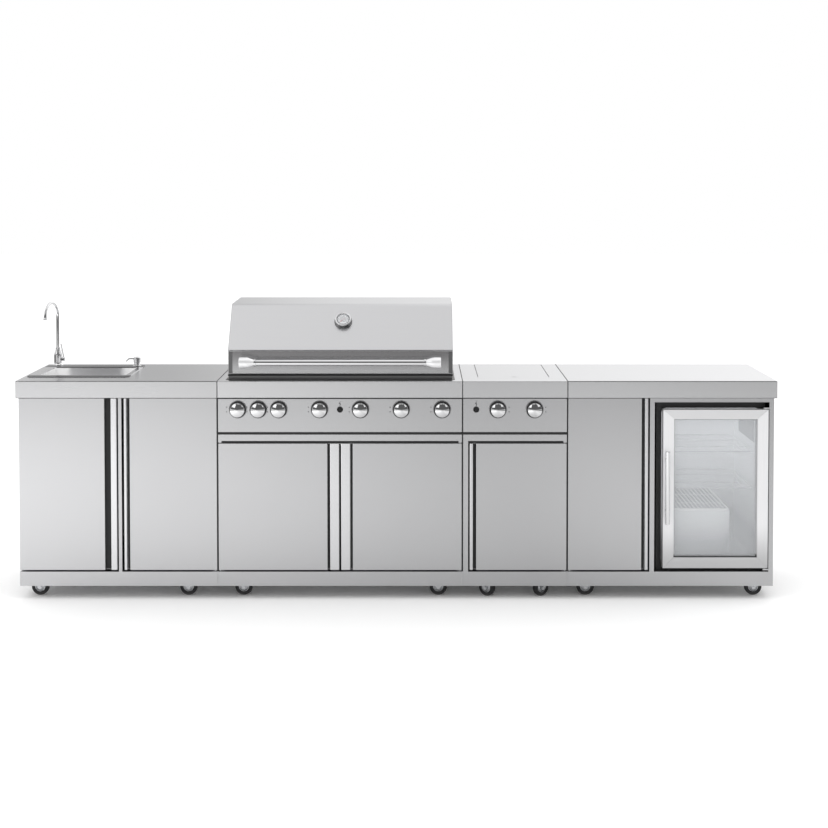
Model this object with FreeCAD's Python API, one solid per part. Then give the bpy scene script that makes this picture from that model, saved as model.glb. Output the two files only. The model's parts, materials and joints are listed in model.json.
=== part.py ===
# Outdoor kitchen island: a sink unit, a grill unit, a side burner unit and a refrigerator unit
# of folded steel sheet, bolted side by side and standing on casters.
# Millimetres. X runs to the viewer's right, Y to the rear, Z up from the floor.
# The origin is under the middle of the whole object, on the floor.
import FreeCAD, Part
import math
import os

# Driving sizes of the whole island
UNIT_WIDTHS = {"sink": 855.0, "grill": 1041.0, "burner": 446.0, "fridge": 888.0}
DEPTH = 610.0
FRONT_REACH = 30.0
WORKTOP_Z = 935.0
FASCIA = 72.0
SHEET = 2.0
END_INSET = 11.0
JOINT_INSET = 3.0
FACE_SETBACK = 10.0

# Plinth, floor and casters
PLINTH_Z = 58.0
FLOOR_Z = 119.0
HEM = 8.0
CHANNEL_WIDTH = 80.0
CASTER_TOP = 102.0
WHEEL_R = 37.5
WHEEL_WIDTH = 24.0
CASTER_TRAIL = 28.0
CASTER_PLATE = (74.0, 60.0)
PLATE_GAUGE = 2.5
RACE_R = 22.0
RACE_DEPTH = 6.0
KINGPIN_R = 4.5
AXLE_R = 4.0
RUNNING = 0.06
FORK_GAP = 0.6
FRONT_CASTER_Y = -200.0
REAR_CASTER_Y = 235.0
# Each front caster: distance of its swivel from the unit's left and right edge, and its heading
CASTER_SETTING = {
    "sink": ((108.0, 180.0), (108.0, 180.0)),
    "grill": ((130.0, 180.0), (130.0, 0.0)),
    "burner": ((85.0, -35.0), (85.0, -145.0)),
    "fridge": ((113.0, 180.0), (108.0, 0.0)),
}

# Doors
DOOR_THICK = 20.0
DOOR_SHEET = 1.5
DOOR_GAP = 2.0
DOOR_Z = 126.0
LOW_DOOR_TOP = 668.0
FULL_DOOR_TOP = 861.0
RECESS_DEPTH = 16.0
STILE = 20.0
PIVOT_IN = 7.0
PIVOT_BACK = 5.0
PIVOT_R = 2.5
PIVOT_LENGTH = 12.0
PIVOT_TAB = 14.0

# Each door: its limits along X, its hinge side, the widths of its bar and finger recess, its top
DOOR_TABLE = (
    ("sink_door_left", (-1604.0, -1188.0), "left", 27.0, 25.0, FULL_DOOR_TOP),
    ("sink_door_right", (-1159.0, -763.0), "right", 13.0, 12.0, FULL_DOOR_TOP),
    ("grill_door_left", (-757.0, -243.0), "left", 40.0, 10.0, LOW_DOOR_TOP),
    ("grill_door_right", (-236.0, 278.0), "right", 40.0, 10.0, LOW_DOOR_TOP),
    ("burner_door", (311.0, 724.0), "right", 15.0, 13.0, LOW_DOOR_TOP),
    ("store_door", (730.0, 1071.0), "left", 15.0, 13.0, FULL_DOOR_TOP),
)
DOORS = {
    name: {"x": x, "hinge": hinge, "bar": bar, "recess": recess, "top": top}
    for name, x, hinge, bar, recess, top in DOOR_TABLE
}
SINK_POST = (-1182.0, -1168.0)
BURNER_POST = (284.0, 305.0)
STORE_POST = (1077.0, 1097.0)
VENT_LENGTH = 160.0
VENT_HEIGHT = 8.0

# Cross rail and control panels
RAIL_Z = (679.0, 706.0)
PANEL_Z = (717.0, 861.5)
BEZEL_R = 38.5
BEZEL_THICK = 4.0
KNOB_R = 31.5
KNOB_REACH = 40.0
KNOB_Z = 813.0
KNOB_PITCH = 173.4
GRILL_KNOB_STEPS = (-2.5, -2.0, -1.5, -0.5, 0.5, 1.5, 2.5)
BURNER_KNOB_X = (431.0, 587.0)
BURNER_IGNITER_X = 339.0
KNOB_FLATS = 30
INDEX_PROUD = 0.8
SHAFT_R = 4.0
SHAFT_LENGTH = 14.0
BUTTON_R = 7.5
BUTTON_BEZEL_R = 12.0
BUTTON_LENGTH = 18.0

# Grill
GRILL_X = -239.5
FIREBOX_WIDTH = 945.0
FIREBOX_Y = (-222.0, 282.0)
FIREBOX_Z = (732.0, 956.0)
FLANGE_REACH = (16.0, 13.0)
LEDGE_REACH = 12.0
LID_WIDTH = 961.0
LID_Z = 957.0
LID_TOP = 1250.0
LID_HINGE = (280.0, 970.0)
LID_PIN_R = 4.0
# The lid's side view as (Y, Z), from the front lip round to the rear: its skin, then its liner
LID_SKIN = [
    (-210.0, LID_Z),
    (-222.0, LID_Z),
    (-222.0, 1056.0),
    (-230.0, 1060.0),
    (-78.0, 1247.0),
    (272.0, LID_TOP),
    (290.0, 1234.0),
    (290.0, 962.0),
]
LID_LINER = [
    (-220.0, 977.0),
    (-206.0, 977.0),
    (-206.0, 1052.0),
    (-66.0, 1226.0),
    (264.0, 1229.0),
    (274.0, 1219.0),
    (274.0, 987.0),
    (288.0, 987.0),
]
HANDLE_R = 13.5
HANDLE_Y = -268.0
HANDLE_Z = 1011.0
HANDLE_HALF = 406.0
COLLAR_R = 23.0
COLLAR_LENGTH = 26.0
DIAL_R = 35.0
DIAL_THICK = 22.0
DIAL_STEM_R = 5.0
DIAL_SHIFT = 8.0
DIAL_Z = 1174.0
GRATE_Y = (-218.5, 261.0)
GRATE_Z = 905.0
GRATE_THICK = 12.0
GRATE_COUNT = 3
GRATE_SLOTS = 9
BURNER_TUBES = 6
BURNER_TUBE_R = 12.0

# Drip tray under the firebox
TRAY_X = (-675.0, 196.0)
TRAY_Y = (-190.0, 309.0)
TRAY_Z = (699.5, 722.0)

# Side burner
HOB_X = (350.0, 660.0)
HOB_Y = (-150.0, 300.0)
HOB_FLOOR = 870.0
HOB_HINGE = (291.5, 930.5)
HOB_PIN_R = 2.0
HOB_GAP = 2.0

# Sink, tap and soap dispenser
SINK_X = (-1602.0, -1157.0)
SINK_Y = (-159.0, 284.0)
BOWL_X = (-1552.0, -1182.0)
BOWL_Y = (-105.0, 183.0)
BOWL_DEPTH = 150.0
BOWL_SHEET = 1.2
BOWL_CORNER = 12.0
BOWL_FOOT = 10.0
DRAIN_HOLE_R = 22.0
RIM = 3.0
RIM_CORNER = 25.0
TAP_HOLE_R = 10.5
SOAP_HOLE_R = 12.5
TAP_X = -1558.0
TAP_Y = 255.0
TAP_TURN = 12.0
SPOUT_R = 6.5
SPOUT_ARCH = 65.0
SPOUT_TOP = 1235.0
SPOUT_END = 1158.0
LEVER_TIP = (14.0, 68.0)
SOAP_X = -1192.0
SOAP_Y = 235.0

# Refrigerator
FRIDGE_HOLE = (1097.0, 1584.0)
FRIDGE_HEAD_Z = 844.0
FRIDGE_X = (1110.0, 1575.0)
FRIDGE_Y = (-236.0, 290.0)
FRIDGE_Z = (119.0, 836.0)
FRIDGE_WALL = 32.0
GLASS_DOOR_X = (1134.0, 1581.0)
GLASS_DOOR_Z = (134.0, 812.0)
GLASS_DOOR_THICK = 40.0
GLASS_DOOR_RIM = (46.0, 46.0, 39.0)
GLASS_PIVOT = (12.0, 8.0)
HUMP_X = 1432.0
HUMP_Y = -205.0
HUMP_Z = 368.0
SHELF_Z = (458.0, 615.0)

# Places worked out from the driving sizes
WIDTH = sum(UNIT_WIDTHS.values())
TOP_FRONT = FRONT_REACH - (DEPTH + FRONT_REACH) / 2
TOP_REAR = TOP_FRONT + DEPTH
FACE_Y = TOP_FRONT + FACE_SETBACK
FRAME_Y = FACE_Y + DOOR_THICK + DOOR_GAP
BACK_Y = TOP_REAR - FACE_SETBACK
FASCIA_Z = WORKTOP_Z - FASCIA
UNDER_TOP = WORKTOP_Z - SHEET
LEDGE_Z = WORKTOP_Z + RIM
BOWL_FLOOR_Z = WORKTOP_Z - BOWL_DEPTH
BOWL_MIDDLE = (sum(BOWL_X) / 2, sum(BOWL_Y) / 2)
FIREBOX_X = (GRILL_X - FIREBOX_WIDTH / 2, GRILL_X + FIREBOX_WIDTH / 2)
Vector = FreeCAD.Vector


# Basic forms

def box(x, y, z):
    """A block given by its low and high limits along each axis."""
    size = (x[1] - x[0], y[1] - y[0], z[1] - z[0])
    return Part.makeBox(*size, Vector(x[0], y[0], z[0]))


def rod(radius, start, end):
    """A round bar from one point to another."""
    start = Vector(*start)
    run = Vector(*end) - start
    return Part.makeCylinder(radius, run.Length, start, run)


def pipe_ring(outer, inner, start, end):
    """A round bar with a hole along its axis."""
    return rod(outer, start, end).cut(rod(inner, start, end))


def fused(*shapes):
    """One solid of several that touch or cross."""
    whole = shapes[0].fuse(list(shapes[1:]))
    return whole.removeSplitter()


def slab(axis, outline, low, high):
    """A closed outline drawn across an axis and pushed along it. The outline's two coordinates are
    the other two axes, in the order X, Y, Z."""
    place = {
        "x": lambda u, v: Vector(low, u, v),
        "y": lambda u, v: Vector(u, low, v),
        "z": lambda u, v: Vector(u, v, low),
    }[axis]
    run = {"x": Vector(1, 0, 0), "y": Vector(0, 1, 0), "z": Vector(0, 0, 1)}[axis]
    corners = [place(u, v) for u, v in outline]
    face = Part.Face(Part.makePolygon(corners + corners[:1]))
    return face.extrude(run * (high - low))


def bent_sheet(path, gauge=SHEET):
    """The outline of a sheet folded along an open path, its thickness on the path's right."""
    inner = []
    for index, (u, v) in enumerate(path):
        runs = path[max(index - 1, 0):index + 2]
        normals = [unit_normal(a, b) for a, b in zip(runs, runs[1:])]
        total = [sum(n[0] for n in normals), sum(n[1] for n in normals)]
        square = (total[0] ** 2 + total[1] ** 2) / len(normals)
        inner.append((u + gauge * total[0] / square, v + gauge * total[1] / square))
    return list(path) + inner[::-1]


def unit_normal(start, end):
    """The direction to the right of a line, one long."""
    run = (end[0] - start[0], end[1] - start[1])
    length = math.hypot(*run)
    return run[1] / length, -run[0] / length


def turned(outline, base=(0, 0, 0), axis=(0, 0, 1)):
    """A lathe-turned piece: an outline of (radius, height) pairs about an axis through base."""
    corners = [Vector(radius, 0, height) for radius, height in outline]
    face = Part.Face(Part.makePolygon(corners + corners[:1]))
    shape = face.revolve(Vector(0, 0, 0), Vector(0, 0, 1), 360)
    turn = FreeCAD.Rotation(Vector(0, 0, 1), Vector(*axis))
    shape.Placement = FreeCAD.Placement(Vector(*base), turn)
    return shape


def rounded(shape, radius, wanted):
    """The shape with every edge for which wanted is true rounded."""
    edges = [edge for edge in shape.Edges if wanted(edge)]
    return shape.makeFillet(radius, edges)


def runs_along(edge, axis):
    """Whether a straight edge is parallel to an axis."""
    if len(edge.Vertexes) != 2:
        return False
    run = edge.Vertexes[1].Point - edge.Vertexes[0].Point
    return abs(run.normalize().dot(Vector(*axis))) > 0.999


def at_height(edge, z):
    """Whether an edge lies level at a height."""
    bounds = edge.BoundBox
    return abs(bounds.ZMin - z) + abs(bounds.ZMax - z) < 0.01


def tub(x, y, z, corner, foot):
    """A block with round upright corners and a sloped lower rim, for a pressed bowl."""
    block = rounded(box(x, y, z), corner, lambda e: runs_along(e, (0, 0, 1)))
    return block.makeChamfer(foot, [edge for edge in block.Edges if at_height(edge, z[0])])


def spread(pair, amount):
    """A pair of limits moved apart, or together for a negative amount."""
    return pair[0] - amount, pair[1] + amount


def moved(shape, turn, x, y, z=0.0):
    """A copy turned about the upright axis and moved."""
    placement = FreeCAD.Placement(Vector(x, y, z), FreeCAD.Rotation(Vector(0, 0, 1), turn))
    copy = shape.copy()
    copy.Placement = placement.multiply(shape.Placement)
    return copy


def save(node, *solids):
    """Writes one sub-part's solids to its own file."""
    shape = solids[0] if len(solids) == 1 else Part.makeCompound(list(solids))
    shape.exportStep(os.path.join("parts", node + ".step"))


def unit_span(unit):
    """The left and right edges of one unit's worktop."""
    left = -WIDTH / 2
    for name, width in UNIT_WIDTHS.items():
        if name == unit:
            return left, left + width
        left += width


def cabinet_span(unit):
    """The left and right sides of one unit's cabinet, set in further at the island's two ends."""
    left, right = unit_span(unit)
    left += END_INSET if unit == "sink" else JOINT_INSET
    right -= END_INSET if unit == "fridge" else JOINT_INSET
    return left, right


# Casters

def caster_plate():
    """The fixed half of a swivel caster: a plate under the channel and the race below it."""
    plate_z = (CASTER_TOP - PLATE_GAUGE, CASTER_TOP)
    race_z = plate_z[0] - RACE_DEPTH
    race = turned([
        (KINGPIN_R + RUNNING, race_z),
        (RACE_R - 3, race_z),
        (RACE_R, race_z + 3),
        (RACE_R, plate_z[0]),
        (KINGPIN_R + RUNNING, plate_z[0]),
    ])
    return fused(top_plate(), race)


def top_plate():
    """The plate that a caster is screwed on by, under the channel."""
    length, width = CASTER_PLATE
    return box((-length / 2, length / 2), (-width / 2, width / 2), (CASTER_TOP - PLATE_GAUGE, CASTER_TOP))


def fork_leg(low, high, top, trail):
    """One leg of a fork, wide at the crown and drawn in to the axle, between two Y limits."""
    boss = AXLE_R + 6
    outline = [
        (-18, top),
        (-18, top - 8),
        (trail - boss, WHEEL_R),
        (trail - boss / 2, WHEEL_R - boss),
        (trail + boss / 2, WHEEL_R - boss),
        (trail + boss, WHEEL_R),
        (max(20, trail), top - 8),
        (20, top),
    ]
    return slab("y", outline, low, high)


def fork(top, trail):
    """A crown with two legs and the axle across them, its wheel ahead of the swivel by the trail."""
    gap = WHEEL_WIDTH / 2 + 2
    outer = gap + 2.5
    crown = box((-18, 20), (-outer, outer), (top - 3, top))
    legs = [fork_leg(gap, outer, top, trail), fork_leg(-outer, -gap, top, trail)]
    axle = rod(AXLE_R, (trail, -outer, WHEEL_R), (trail, outer, WHEEL_R))
    heads = [axle_head(trail, side * outer, side) for side in (-1, 1)]
    return fused(crown, *legs, axle, *heads)


def axle_head(trail, start, side):
    """A six-sided axle head on the outside of a leg."""
    corners = [(math.cos(math.radians(60 * n)), math.sin(math.radians(60 * n))) for n in range(6)]
    outline = [(trail + 7 * u, WHEEL_R + 7 * v) for u, v in corners]
    return slab("y", outline, *sorted((start, start + side * 4)))


def swivel_fork():
    """The turning half of a swivel caster, with its kingpin up through the race."""
    top = CASTER_TOP - PLATE_GAUGE - RACE_DEPTH - FORK_GAP
    kingpin = rod(KINGPIN_R, (0, 0, top), (0, 0, CASTER_TOP - PLATE_GAUGE - FORK_GAP))
    return fused(fork(top, CASTER_TRAIL), kingpin)


def wheel():
    """A tyred wheel on an axle along Y through the origin, its hub level with the tyre's sides."""
    half = WHEEL_WIDTH / 2
    bore = AXLE_R + RUNNING
    return turned([(bore, -half), (WHEEL_R, -half), (WHEEL_R, half), (bore, half)], axis=(0, 1, 0))


def caster_places(unit):
    """The X of a unit's left and right casters, with the heading of each front one."""
    left, right = unit_span(unit)
    (from_left, left_heading), (from_right, right_heading) = CASTER_SETTING[unit]
    return [(left + from_left, left_heading), (right - from_right, right_heading)]


def save_front_casters():
    """Eight forks and eight wheels, numbered from the left."""
    number = 0
    for unit in UNIT_WIDTHS:
        for x, heading in caster_places(unit):
            number += 1
            save(f"front_fork_{number}", moved(swivel_fork(), heading, x, FRONT_CASTER_Y))
            at_axle = moved(wheel(), 0, CASTER_TRAIL, 0, WHEEL_R)
            save(f"front_wheel_{number}", moved(at_axle, heading, x, FRONT_CASTER_Y))


def rear_caster_fork(x):
    """A rigid caster's plate and fork, its wheel rolling front to back."""
    rigid = fused(top_plate(), fork(CASTER_TOP - PLATE_GAUGE, 0.0))
    return moved(rigid, 90, x, REAR_CASTER_Y)


def save_rear_wheels():
    """The wheels of the rear casters, all on one axle line."""
    wheels = []
    for unit in UNIT_WIDTHS:
        for x, _ in caster_places(unit):
            wheels.append(moved(wheel(), 90, x, REAR_CASTER_Y, WHEEL_R))
    save("rear_wheels", *wheels)


# Cabinets

def skirt(x, outer, inward):
    """A front or rear plinth skirt with its lower edge turned in. inward is 1 or -1 along Y."""
    path = [(outer + inward * HEM, PLINTH_Z), (outer, PLINTH_Z), (outer, FLOOR_Z - SHEET)]
    outline = bent_sheet(path if inward > 0 else path[::-1])
    return slab("x", outline, *x)


def plinth(unit):
    """The floor sheet, the skirts round it, and a channel along each pair of casters."""
    x = cabinet_span(unit)
    y = (FACE_Y, BACK_Y)
    floor = box(x, y, (FLOOR_Z - SHEET, FLOOR_Z))
    inside = (FACE_Y + SHEET, BACK_Y - SHEET)
    upright = (PLINTH_Z + SHEET, FLOOR_Z - SHEET)
    parts = [floor, skirt(x, FACE_Y, 1), skirt(x, BACK_Y, -1)]
    parts.append(box((x[0], x[0] + SHEET), inside, upright))
    parts.append(box((x[1] - SHEET, x[1]), inside, upright))
    for centre, _ in caster_places(unit):
        half = CHANNEL_WIDTH / 2
        low = (centre - half, FLOOR_Z - SHEET)
        high = (centre + half, FLOOR_Z - SHEET)
        path = [low, (centre - half, CASTER_TOP), (centre + half, CASTER_TOP), high]
        parts.append(slab("y", bent_sheet(path[::-1]), inside[0], inside[1]))
        parts.append(moved(caster_plate(), 0, centre, FRONT_CASTER_Y))
        parts.append(rear_caster_fork(centre))
    return parts


def walls(unit):
    """Side sheets, front stiles and the header behind the worktop's front."""
    x = cabinet_span(unit)
    y = (FRAME_Y, BACK_Y - SHEET)
    z = (FLOOR_Z, UNDER_TOP)
    stile_y = (FRAME_Y, FRAME_Y + SHEET)
    parts = []
    for outer, inward in ((x[0], 1), (x[1], -1)):
        inner = outer + inward * SHEET
        edge = outer + inward * STILE
        parts.append(box(sorted((outer, inner)), y, z))
        parts.append(box(sorted((inner, edge)), stile_y, (FLOOR_Z, FASCIA_Z)))
    parts.append(box(spread(x, -SHEET), stile_y, (FASCIA_Z, UNDER_TOP)))
    return parts


def back_sheet(unit, openings=()):
    """The rear sheet, cut with the given openings."""
    sheet = box(cabinet_span(unit), (BACK_Y - SHEET, BACK_Y), (FLOOR_Z, UNDER_TOP))
    for opening in openings:
        sheet = sheet.cut(opening)
    return sheet


def vent_slots(centre, z, count, pitch):
    """A row of level slots through the rear sheet for air to pass."""
    x = (centre - VENT_LENGTH / 2, centre + VENT_LENGTH / 2)
    depth = (BACK_Y - 2 * SHEET, BACK_Y + SHEET)
    lows = [z + number * pitch for number in range(count)]
    return [box(x, depth, (low, low + VENT_HEIGHT)) for low in lows]


def cross_rail(unit):
    """The level rail between the control panel and the doors below it."""
    return box(cabinet_span(unit), (FACE_Y, FRAME_Y), RAIL_Z)


def post(x, top=FASCIA_Z):
    """An upright between two doors, flush with their faces."""
    return box(x, (FACE_Y, FRAME_Y), (FLOOR_Z, top))


def pivot_centre(door):
    """Where a door's pivots stand."""
    x = door["x"]
    across = x[0] + PIVOT_IN if door["hinge"] == "left" else x[1] - PIVOT_IN
    return across, FACE_Y + PIVOT_BACK


def door_pivots(name):
    """The lower pin on the floor, and the upper pin on a tab."""
    door = DOORS[name]
    px, py = pivot_centre(door)
    low, high = DOOR_Z, door["top"]
    lower = rod(PIVOT_R, (px, py, FLOOR_Z), (px, py, low + PIVOT_LENGTH))
    tab_z = (high + 4, RAIL_Z[0]) if high < RAIL_Z[0] else (FASCIA_Z, FASCIA_Z + 6)
    edge = door["x"][0] if door["hinge"] == "left" else door["x"][1] - PIVOT_TAB
    tab = box((edge, edge + PIVOT_TAB), (FACE_Y + 1, FRAME_Y), tab_z)
    upper = fused(tab, rod(PIVOT_R, (px, py, high - PIVOT_LENGTH), (px, py, tab_z[0] + 2)))
    return [lower, upper]


def save_cabinets():
    """The four cabinets, each with its posts, rails, door pivots and rear sheet."""
    tray_slot = box(spread(TRAY_X, 6), (BACK_Y - 2 * SHEET, BACK_Y + SHEET), spread(TRAY_Z, 6))
    sink_pivots = door_pivots("sink_door_left") + door_pivots("sink_door_right")
    save("sink_cabinet", *plinth("sink"), *walls("sink"), back_sheet("sink"), post(SINK_POST), *sink_pivots)
    grill_pivots = door_pivots("grill_door_left") + door_pivots("grill_door_right")
    grill_vents = vent_slots(GRILL_X, 560.0, 4, 22.0)
    grill_back = back_sheet("grill", [tray_slot] + grill_vents)
    save("grill_cabinet", *plinth("grill"), *walls("grill"), grill_back, cross_rail("grill"), *grill_pivots)
    burner = plinth("burner") + walls("burner") + door_pivots("burner_door")
    burner += [back_sheet("burner"), cross_rail("burner"), post(BURNER_POST, RAIL_Z[0])]
    save("burner_cabinet", *burner)
    save("fridge_cabinet", *plinth("fridge"), *walls("fridge"), *fridge_bay())


def fridge_bay():
    """The refrigerator's opening, its partition, vented back and the store door's post and pivots."""
    centre = sum(FRIDGE_X) / 2
    back = back_sheet("fridge", vent_slots(centre, 180.0, 6, 22.0) + vent_slots(centre, 700.0, 3, 22.0))
    end = cabinet_span("fridge")[1]
    left, right = FRIDGE_HOLE
    head = box((left, right), (FACE_Y, FRAME_Y), (FRIDGE_HEAD_Z, FASCIA_Z))
    partition = box((left - SHEET, left), (FRAME_Y, BACK_Y - SHEET), (FLOOR_Z, UNDER_TOP))
    header_notch = box((left - 2 * SHEET, left + SHEET), (FRAME_Y, FRAME_Y + SHEET), (FASCIA_Z, UNDER_TOP))
    bay = [back, head, partition.cut(header_notch), post(STORE_POST), post((right, end))]
    return bay + door_pivots("store_door") + glass_door_pivots()


def glass_door_pivots():
    """Two corner brackets on the right-hand post, each with a pin into the glass door's frame."""
    px = GLASS_DOOR_X[1] - GLASS_PIVOT[0]
    py = FACE_Y + GLASS_PIVOT[1]
    parts = []
    for edge, away in ((GLASS_DOOR_Z[1], 1), (GLASS_DOOR_Z[0], -1)):
        near, far = edge + away * 3, edge + away * 9
        plate = box((px - 9, FRIDGE_HOLE[1]), (FACE_Y + 1, FRAME_Y), sorted((near, far)))
        pin = rod(SHAFT_R, (px, py, edge - away * PIVOT_LENGTH), (px, py, far))
        parts.append(fused(plate, pin))
    return parts


# Doors

def door(name):
    """A folded door: a tray-shaped panel, a finger recess and a full-height bar at its free edge."""
    spec = DOORS[name]
    x, z = spec["x"], (DOOR_Z, spec["top"])
    side = 1 if spec["hinge"] == "left" else -1
    free = x[1] if side > 0 else x[0]
    bar_x = sorted((free, free - side * spec["bar"]))
    panel_end = free - side * (spec["bar"] + spec["recess"])
    hinge_edge = x[0] if side > 0 else x[1]
    panel_x = sorted((hinge_edge, panel_end))
    rear = FACE_Y + DOOR_THICK
    shell = box(panel_x, (FACE_Y, rear), z)
    hollow = box(spread(panel_x, -DOOR_SHEET), (FACE_Y + DOOR_SHEET, rear + 1), spread(z, -DOOR_SHEET))
    px, py = pivot_centre(spec)
    bore = rod(PIVOT_R + RUNNING, (px, py, z[0] - 1), (px, py, z[1] + 1))
    panel = shell.cut(hollow).cut(bore)
    recess_floor = FACE_Y + RECESS_DEPTH
    strip = box(sorted((panel_end, free)), (recess_floor, rear), z)
    bar = box(bar_x, (FACE_Y, recess_floor), z)
    bar = rounded(bar, 3.0, lambda e: runs_along(e, (0, 0, 1)) and e.BoundBox.YMax < FACE_Y + 1)
    return [panel, strip, bar]


# Worktops

def worktop(unit, cut_out=None):
    """A folded sheet top with a deep front and turned-down sides and rear."""
    x = unit_span(unit)
    y = (TOP_FRONT, TOP_REAR)
    outer = box(x, y, (FASCIA_Z, WORKTOP_Z))
    outer = rounded(outer, 3.0, lambda e: at_height(e, WORKTOP_Z) and e.BoundBox.YMax < TOP_FRONT + 1)
    inner = box(spread(x, -SHEET), spread(y, -SHEET), (FASCIA_Z - 1, UNDER_TOP))
    top = outer.cut(inner)
    return top.cut(cut_out) if cut_out else top


def rounded_block(x, y, z, corner):
    """A block with round upright corners."""
    return rounded(box(x, y, z), corner, lambda e: runs_along(e, (0, 0, 1)))


def save_worktops():
    """The four worktops with the openings for the sink, the grill and the side burner."""
    through = (FASCIA_Z, WORKTOP_Z + 1)
    sink_hole = rounded_block(spread(SINK_X, -12), spread(SINK_Y, -12), through, 20.0)
    save("sink_worktop", worktop("sink", sink_hole))
    save("grill_worktop", worktop("grill", box(spread(FIREBOX_X, 4), spread(FIREBOX_Y, 4), through)))
    save("burner_worktop", worktop("burner", box(HOB_X, HOB_Y, through)))
    save("fridge_worktop", worktop("fridge"))


# Sink, tap and soap dispenser

def sink_rim():
    """The rim and ledge round the bowl's mouth, welded of four strips, with the two fitting holes."""
    z = (WORKTOP_Z, LEDGE_Z)
    through = spread(z, 1)
    plate = rounded_block(SINK_X, SINK_Y, z, RIM_CORNER)
    plate = plate.cut(rounded_block(BOWL_X, BOWL_Y, through, BOWL_CORNER))
    plate = plate.cut(rod(TAP_HOLE_R, (TAP_X, TAP_Y, through[0]), (TAP_X, TAP_Y, through[1])))
    plate = plate.cut(rod(SOAP_HOLE_R, (SOAP_X, SOAP_Y, through[0]), (SOAP_X, SOAP_Y, through[1])))
    return in_strips(plate, SINK_X, SINK_Y, BOWL_X, z)


def in_strips(ring, x, y, inner_x, z):
    """A frame round the bowl's axis divided into its front, rear, left and right strips."""
    near, far = spread(BOWL_Y, -BOWL_CORNER)
    strips = [
        box(x, (y[0], near), z),
        box(x, (far, y[1]), z),
        box((x[0], inner_x[0]), (near, far), z),
        box((inner_x[1], x[1]), (near, far), z),
    ]
    return [ring.common(strip) for strip in strips]


def sink_bowl():
    """The bowl, welded of a dished floor and four walls, with its drain hole."""
    inside_x, inside_y = spread(BOWL_X, -BOWL_SHEET), spread(BOWL_Y, -BOWL_SHEET)
    outer = tub(BOWL_X, BOWL_Y, (BOWL_FLOOR_Z, LEDGE_Z), BOWL_CORNER, BOWL_FOOT)
    inner_z = (BOWL_FLOOR_Z + BOWL_SHEET, LEDGE_Z + 1)
    inner = tub(inside_x, inside_y, inner_z, BOWL_CORNER - BOWL_SHEET, BOWL_FOOT - BOWL_SHEET)
    shell = outer.cut(inner)
    foot_z = (BOWL_FLOOR_Z, BOWL_FLOOR_Z + BOWL_FOOT)
    x, y = BOWL_MIDDLE
    drain_hole = rod(DRAIN_HOLE_R, (x, y, foot_z[0] - 1), (x, y, foot_z[1]))
    dish = shell.common(box(BOWL_X, BOWL_Y, foot_z)).cut(drain_hole)
    return [dish] + in_strips(shell, BOWL_X, BOWL_Y, inside_x, (foot_z[1], LEDGE_Z))


def strainer():
    """The drain's flange on the bowl's floor, its body and tailpiece, and the nut below."""
    seat = BOWL_FLOOR_Z + BOWL_SHEET
    x, y = BOWL_MIDDLE
    drain = turned([
        (17.5, BOWL_FLOOR_Z - 85),
        (19.0, BOWL_FLOOR_Z - 85),
        (19.0, BOWL_FLOOR_Z - 25),
        (21.5, BOWL_FLOOR_Z - 25),
        (21.5, seat),
        (30.0, seat),
        (30.0, seat + 1.5),
        (17.5, seat + 1.5),
    ], (x, y, 0))
    nut = pipe_ring(32.0, 21.5, (x, y, BOWL_FLOOR_Z - 10), (x, y, BOWL_FLOOR_Z))
    return [drain, nut]


def tap_body():
    """The tap's foot, upright body with the lever's boss, threaded shank and nut under the ledge."""
    boss_z = LEDGE_Z + 30
    body = turned([
        (0, WORKTOP_Z - 55),
        (10, WORKTOP_Z - 55),
        (10, LEDGE_Z),
        (24, LEDGE_Z),
        (18, LEDGE_Z + 8),
        (17.5, LEDGE_Z + 52),
        (11, LEDGE_Z + 74),
        (6 + RUNNING, LEDGE_Z + 74),
        (6 + RUNNING, LEDGE_Z + 56),
        (0, LEDGE_Z + 56),
    ], (TAP_X, TAP_Y, 0))
    boss = rod(11, (TAP_X + 10, TAP_Y, boss_z), (TAP_X + 20, TAP_Y, boss_z))
    bore = rod(5 + RUNNING, (TAP_X + 8, TAP_Y, boss_z), (TAP_X + 21, TAP_Y, boss_z))
    nut = pipe_ring(17, 10, (TAP_X, TAP_Y, WORKTOP_Z - 10), (TAP_X, TAP_Y, WORKTOP_Z))
    return [body.fuse(boss).cut(bore), nut]


def tap_spout():
    """A swan-neck tube on a spigot that turns in the tap's body, with an aerator at its end."""
    foot = LEDGE_Z + 74.5
    bend_z = SPOUT_TOP - SPOUT_R - SPOUT_ARCH
    end_x = 2 * SPOUT_ARCH
    circle = Part.Wire(Part.makeCircle(SPOUT_R, Vector(0, 0, bend_z), Vector(0, 0, 1)))
    arch = Part.Face(circle).revolve(Vector(SPOUT_ARCH, 0, bend_z), Vector(0, 1, 0), 180)
    neck = fused(
        rod(6, (0, 0, foot - 17), (0, 0, foot)),
        rod(10, (0, 0, foot), (0, 0, foot + 10)),
        rod(SPOUT_R, (0, 0, foot), (0, 0, bend_z)),
        arch,
        rod(8, (end_x, 0, SPOUT_END), (end_x, 0, bend_z)),
    )
    return moved(neck, -90 - TAP_TURN, TAP_X, TAP_Y)


def tap_lever():
    """A hub on the tap's right side with its spigot, and a slim arm standing up from it."""
    z = LEDGE_Z + 30
    spigot = rod(5, (9, 0, z), (21, 0, z))
    hub = rod(10, (20.5, 0, z), (32, 0, z))
    arm = rod(3.5, (27.5, 0, z), (LEVER_TIP[0], 0, z + LEVER_TIP[1]))
    return moved(fused(spigot, hub, arm), 0, TAP_X, TAP_Y)


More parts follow.
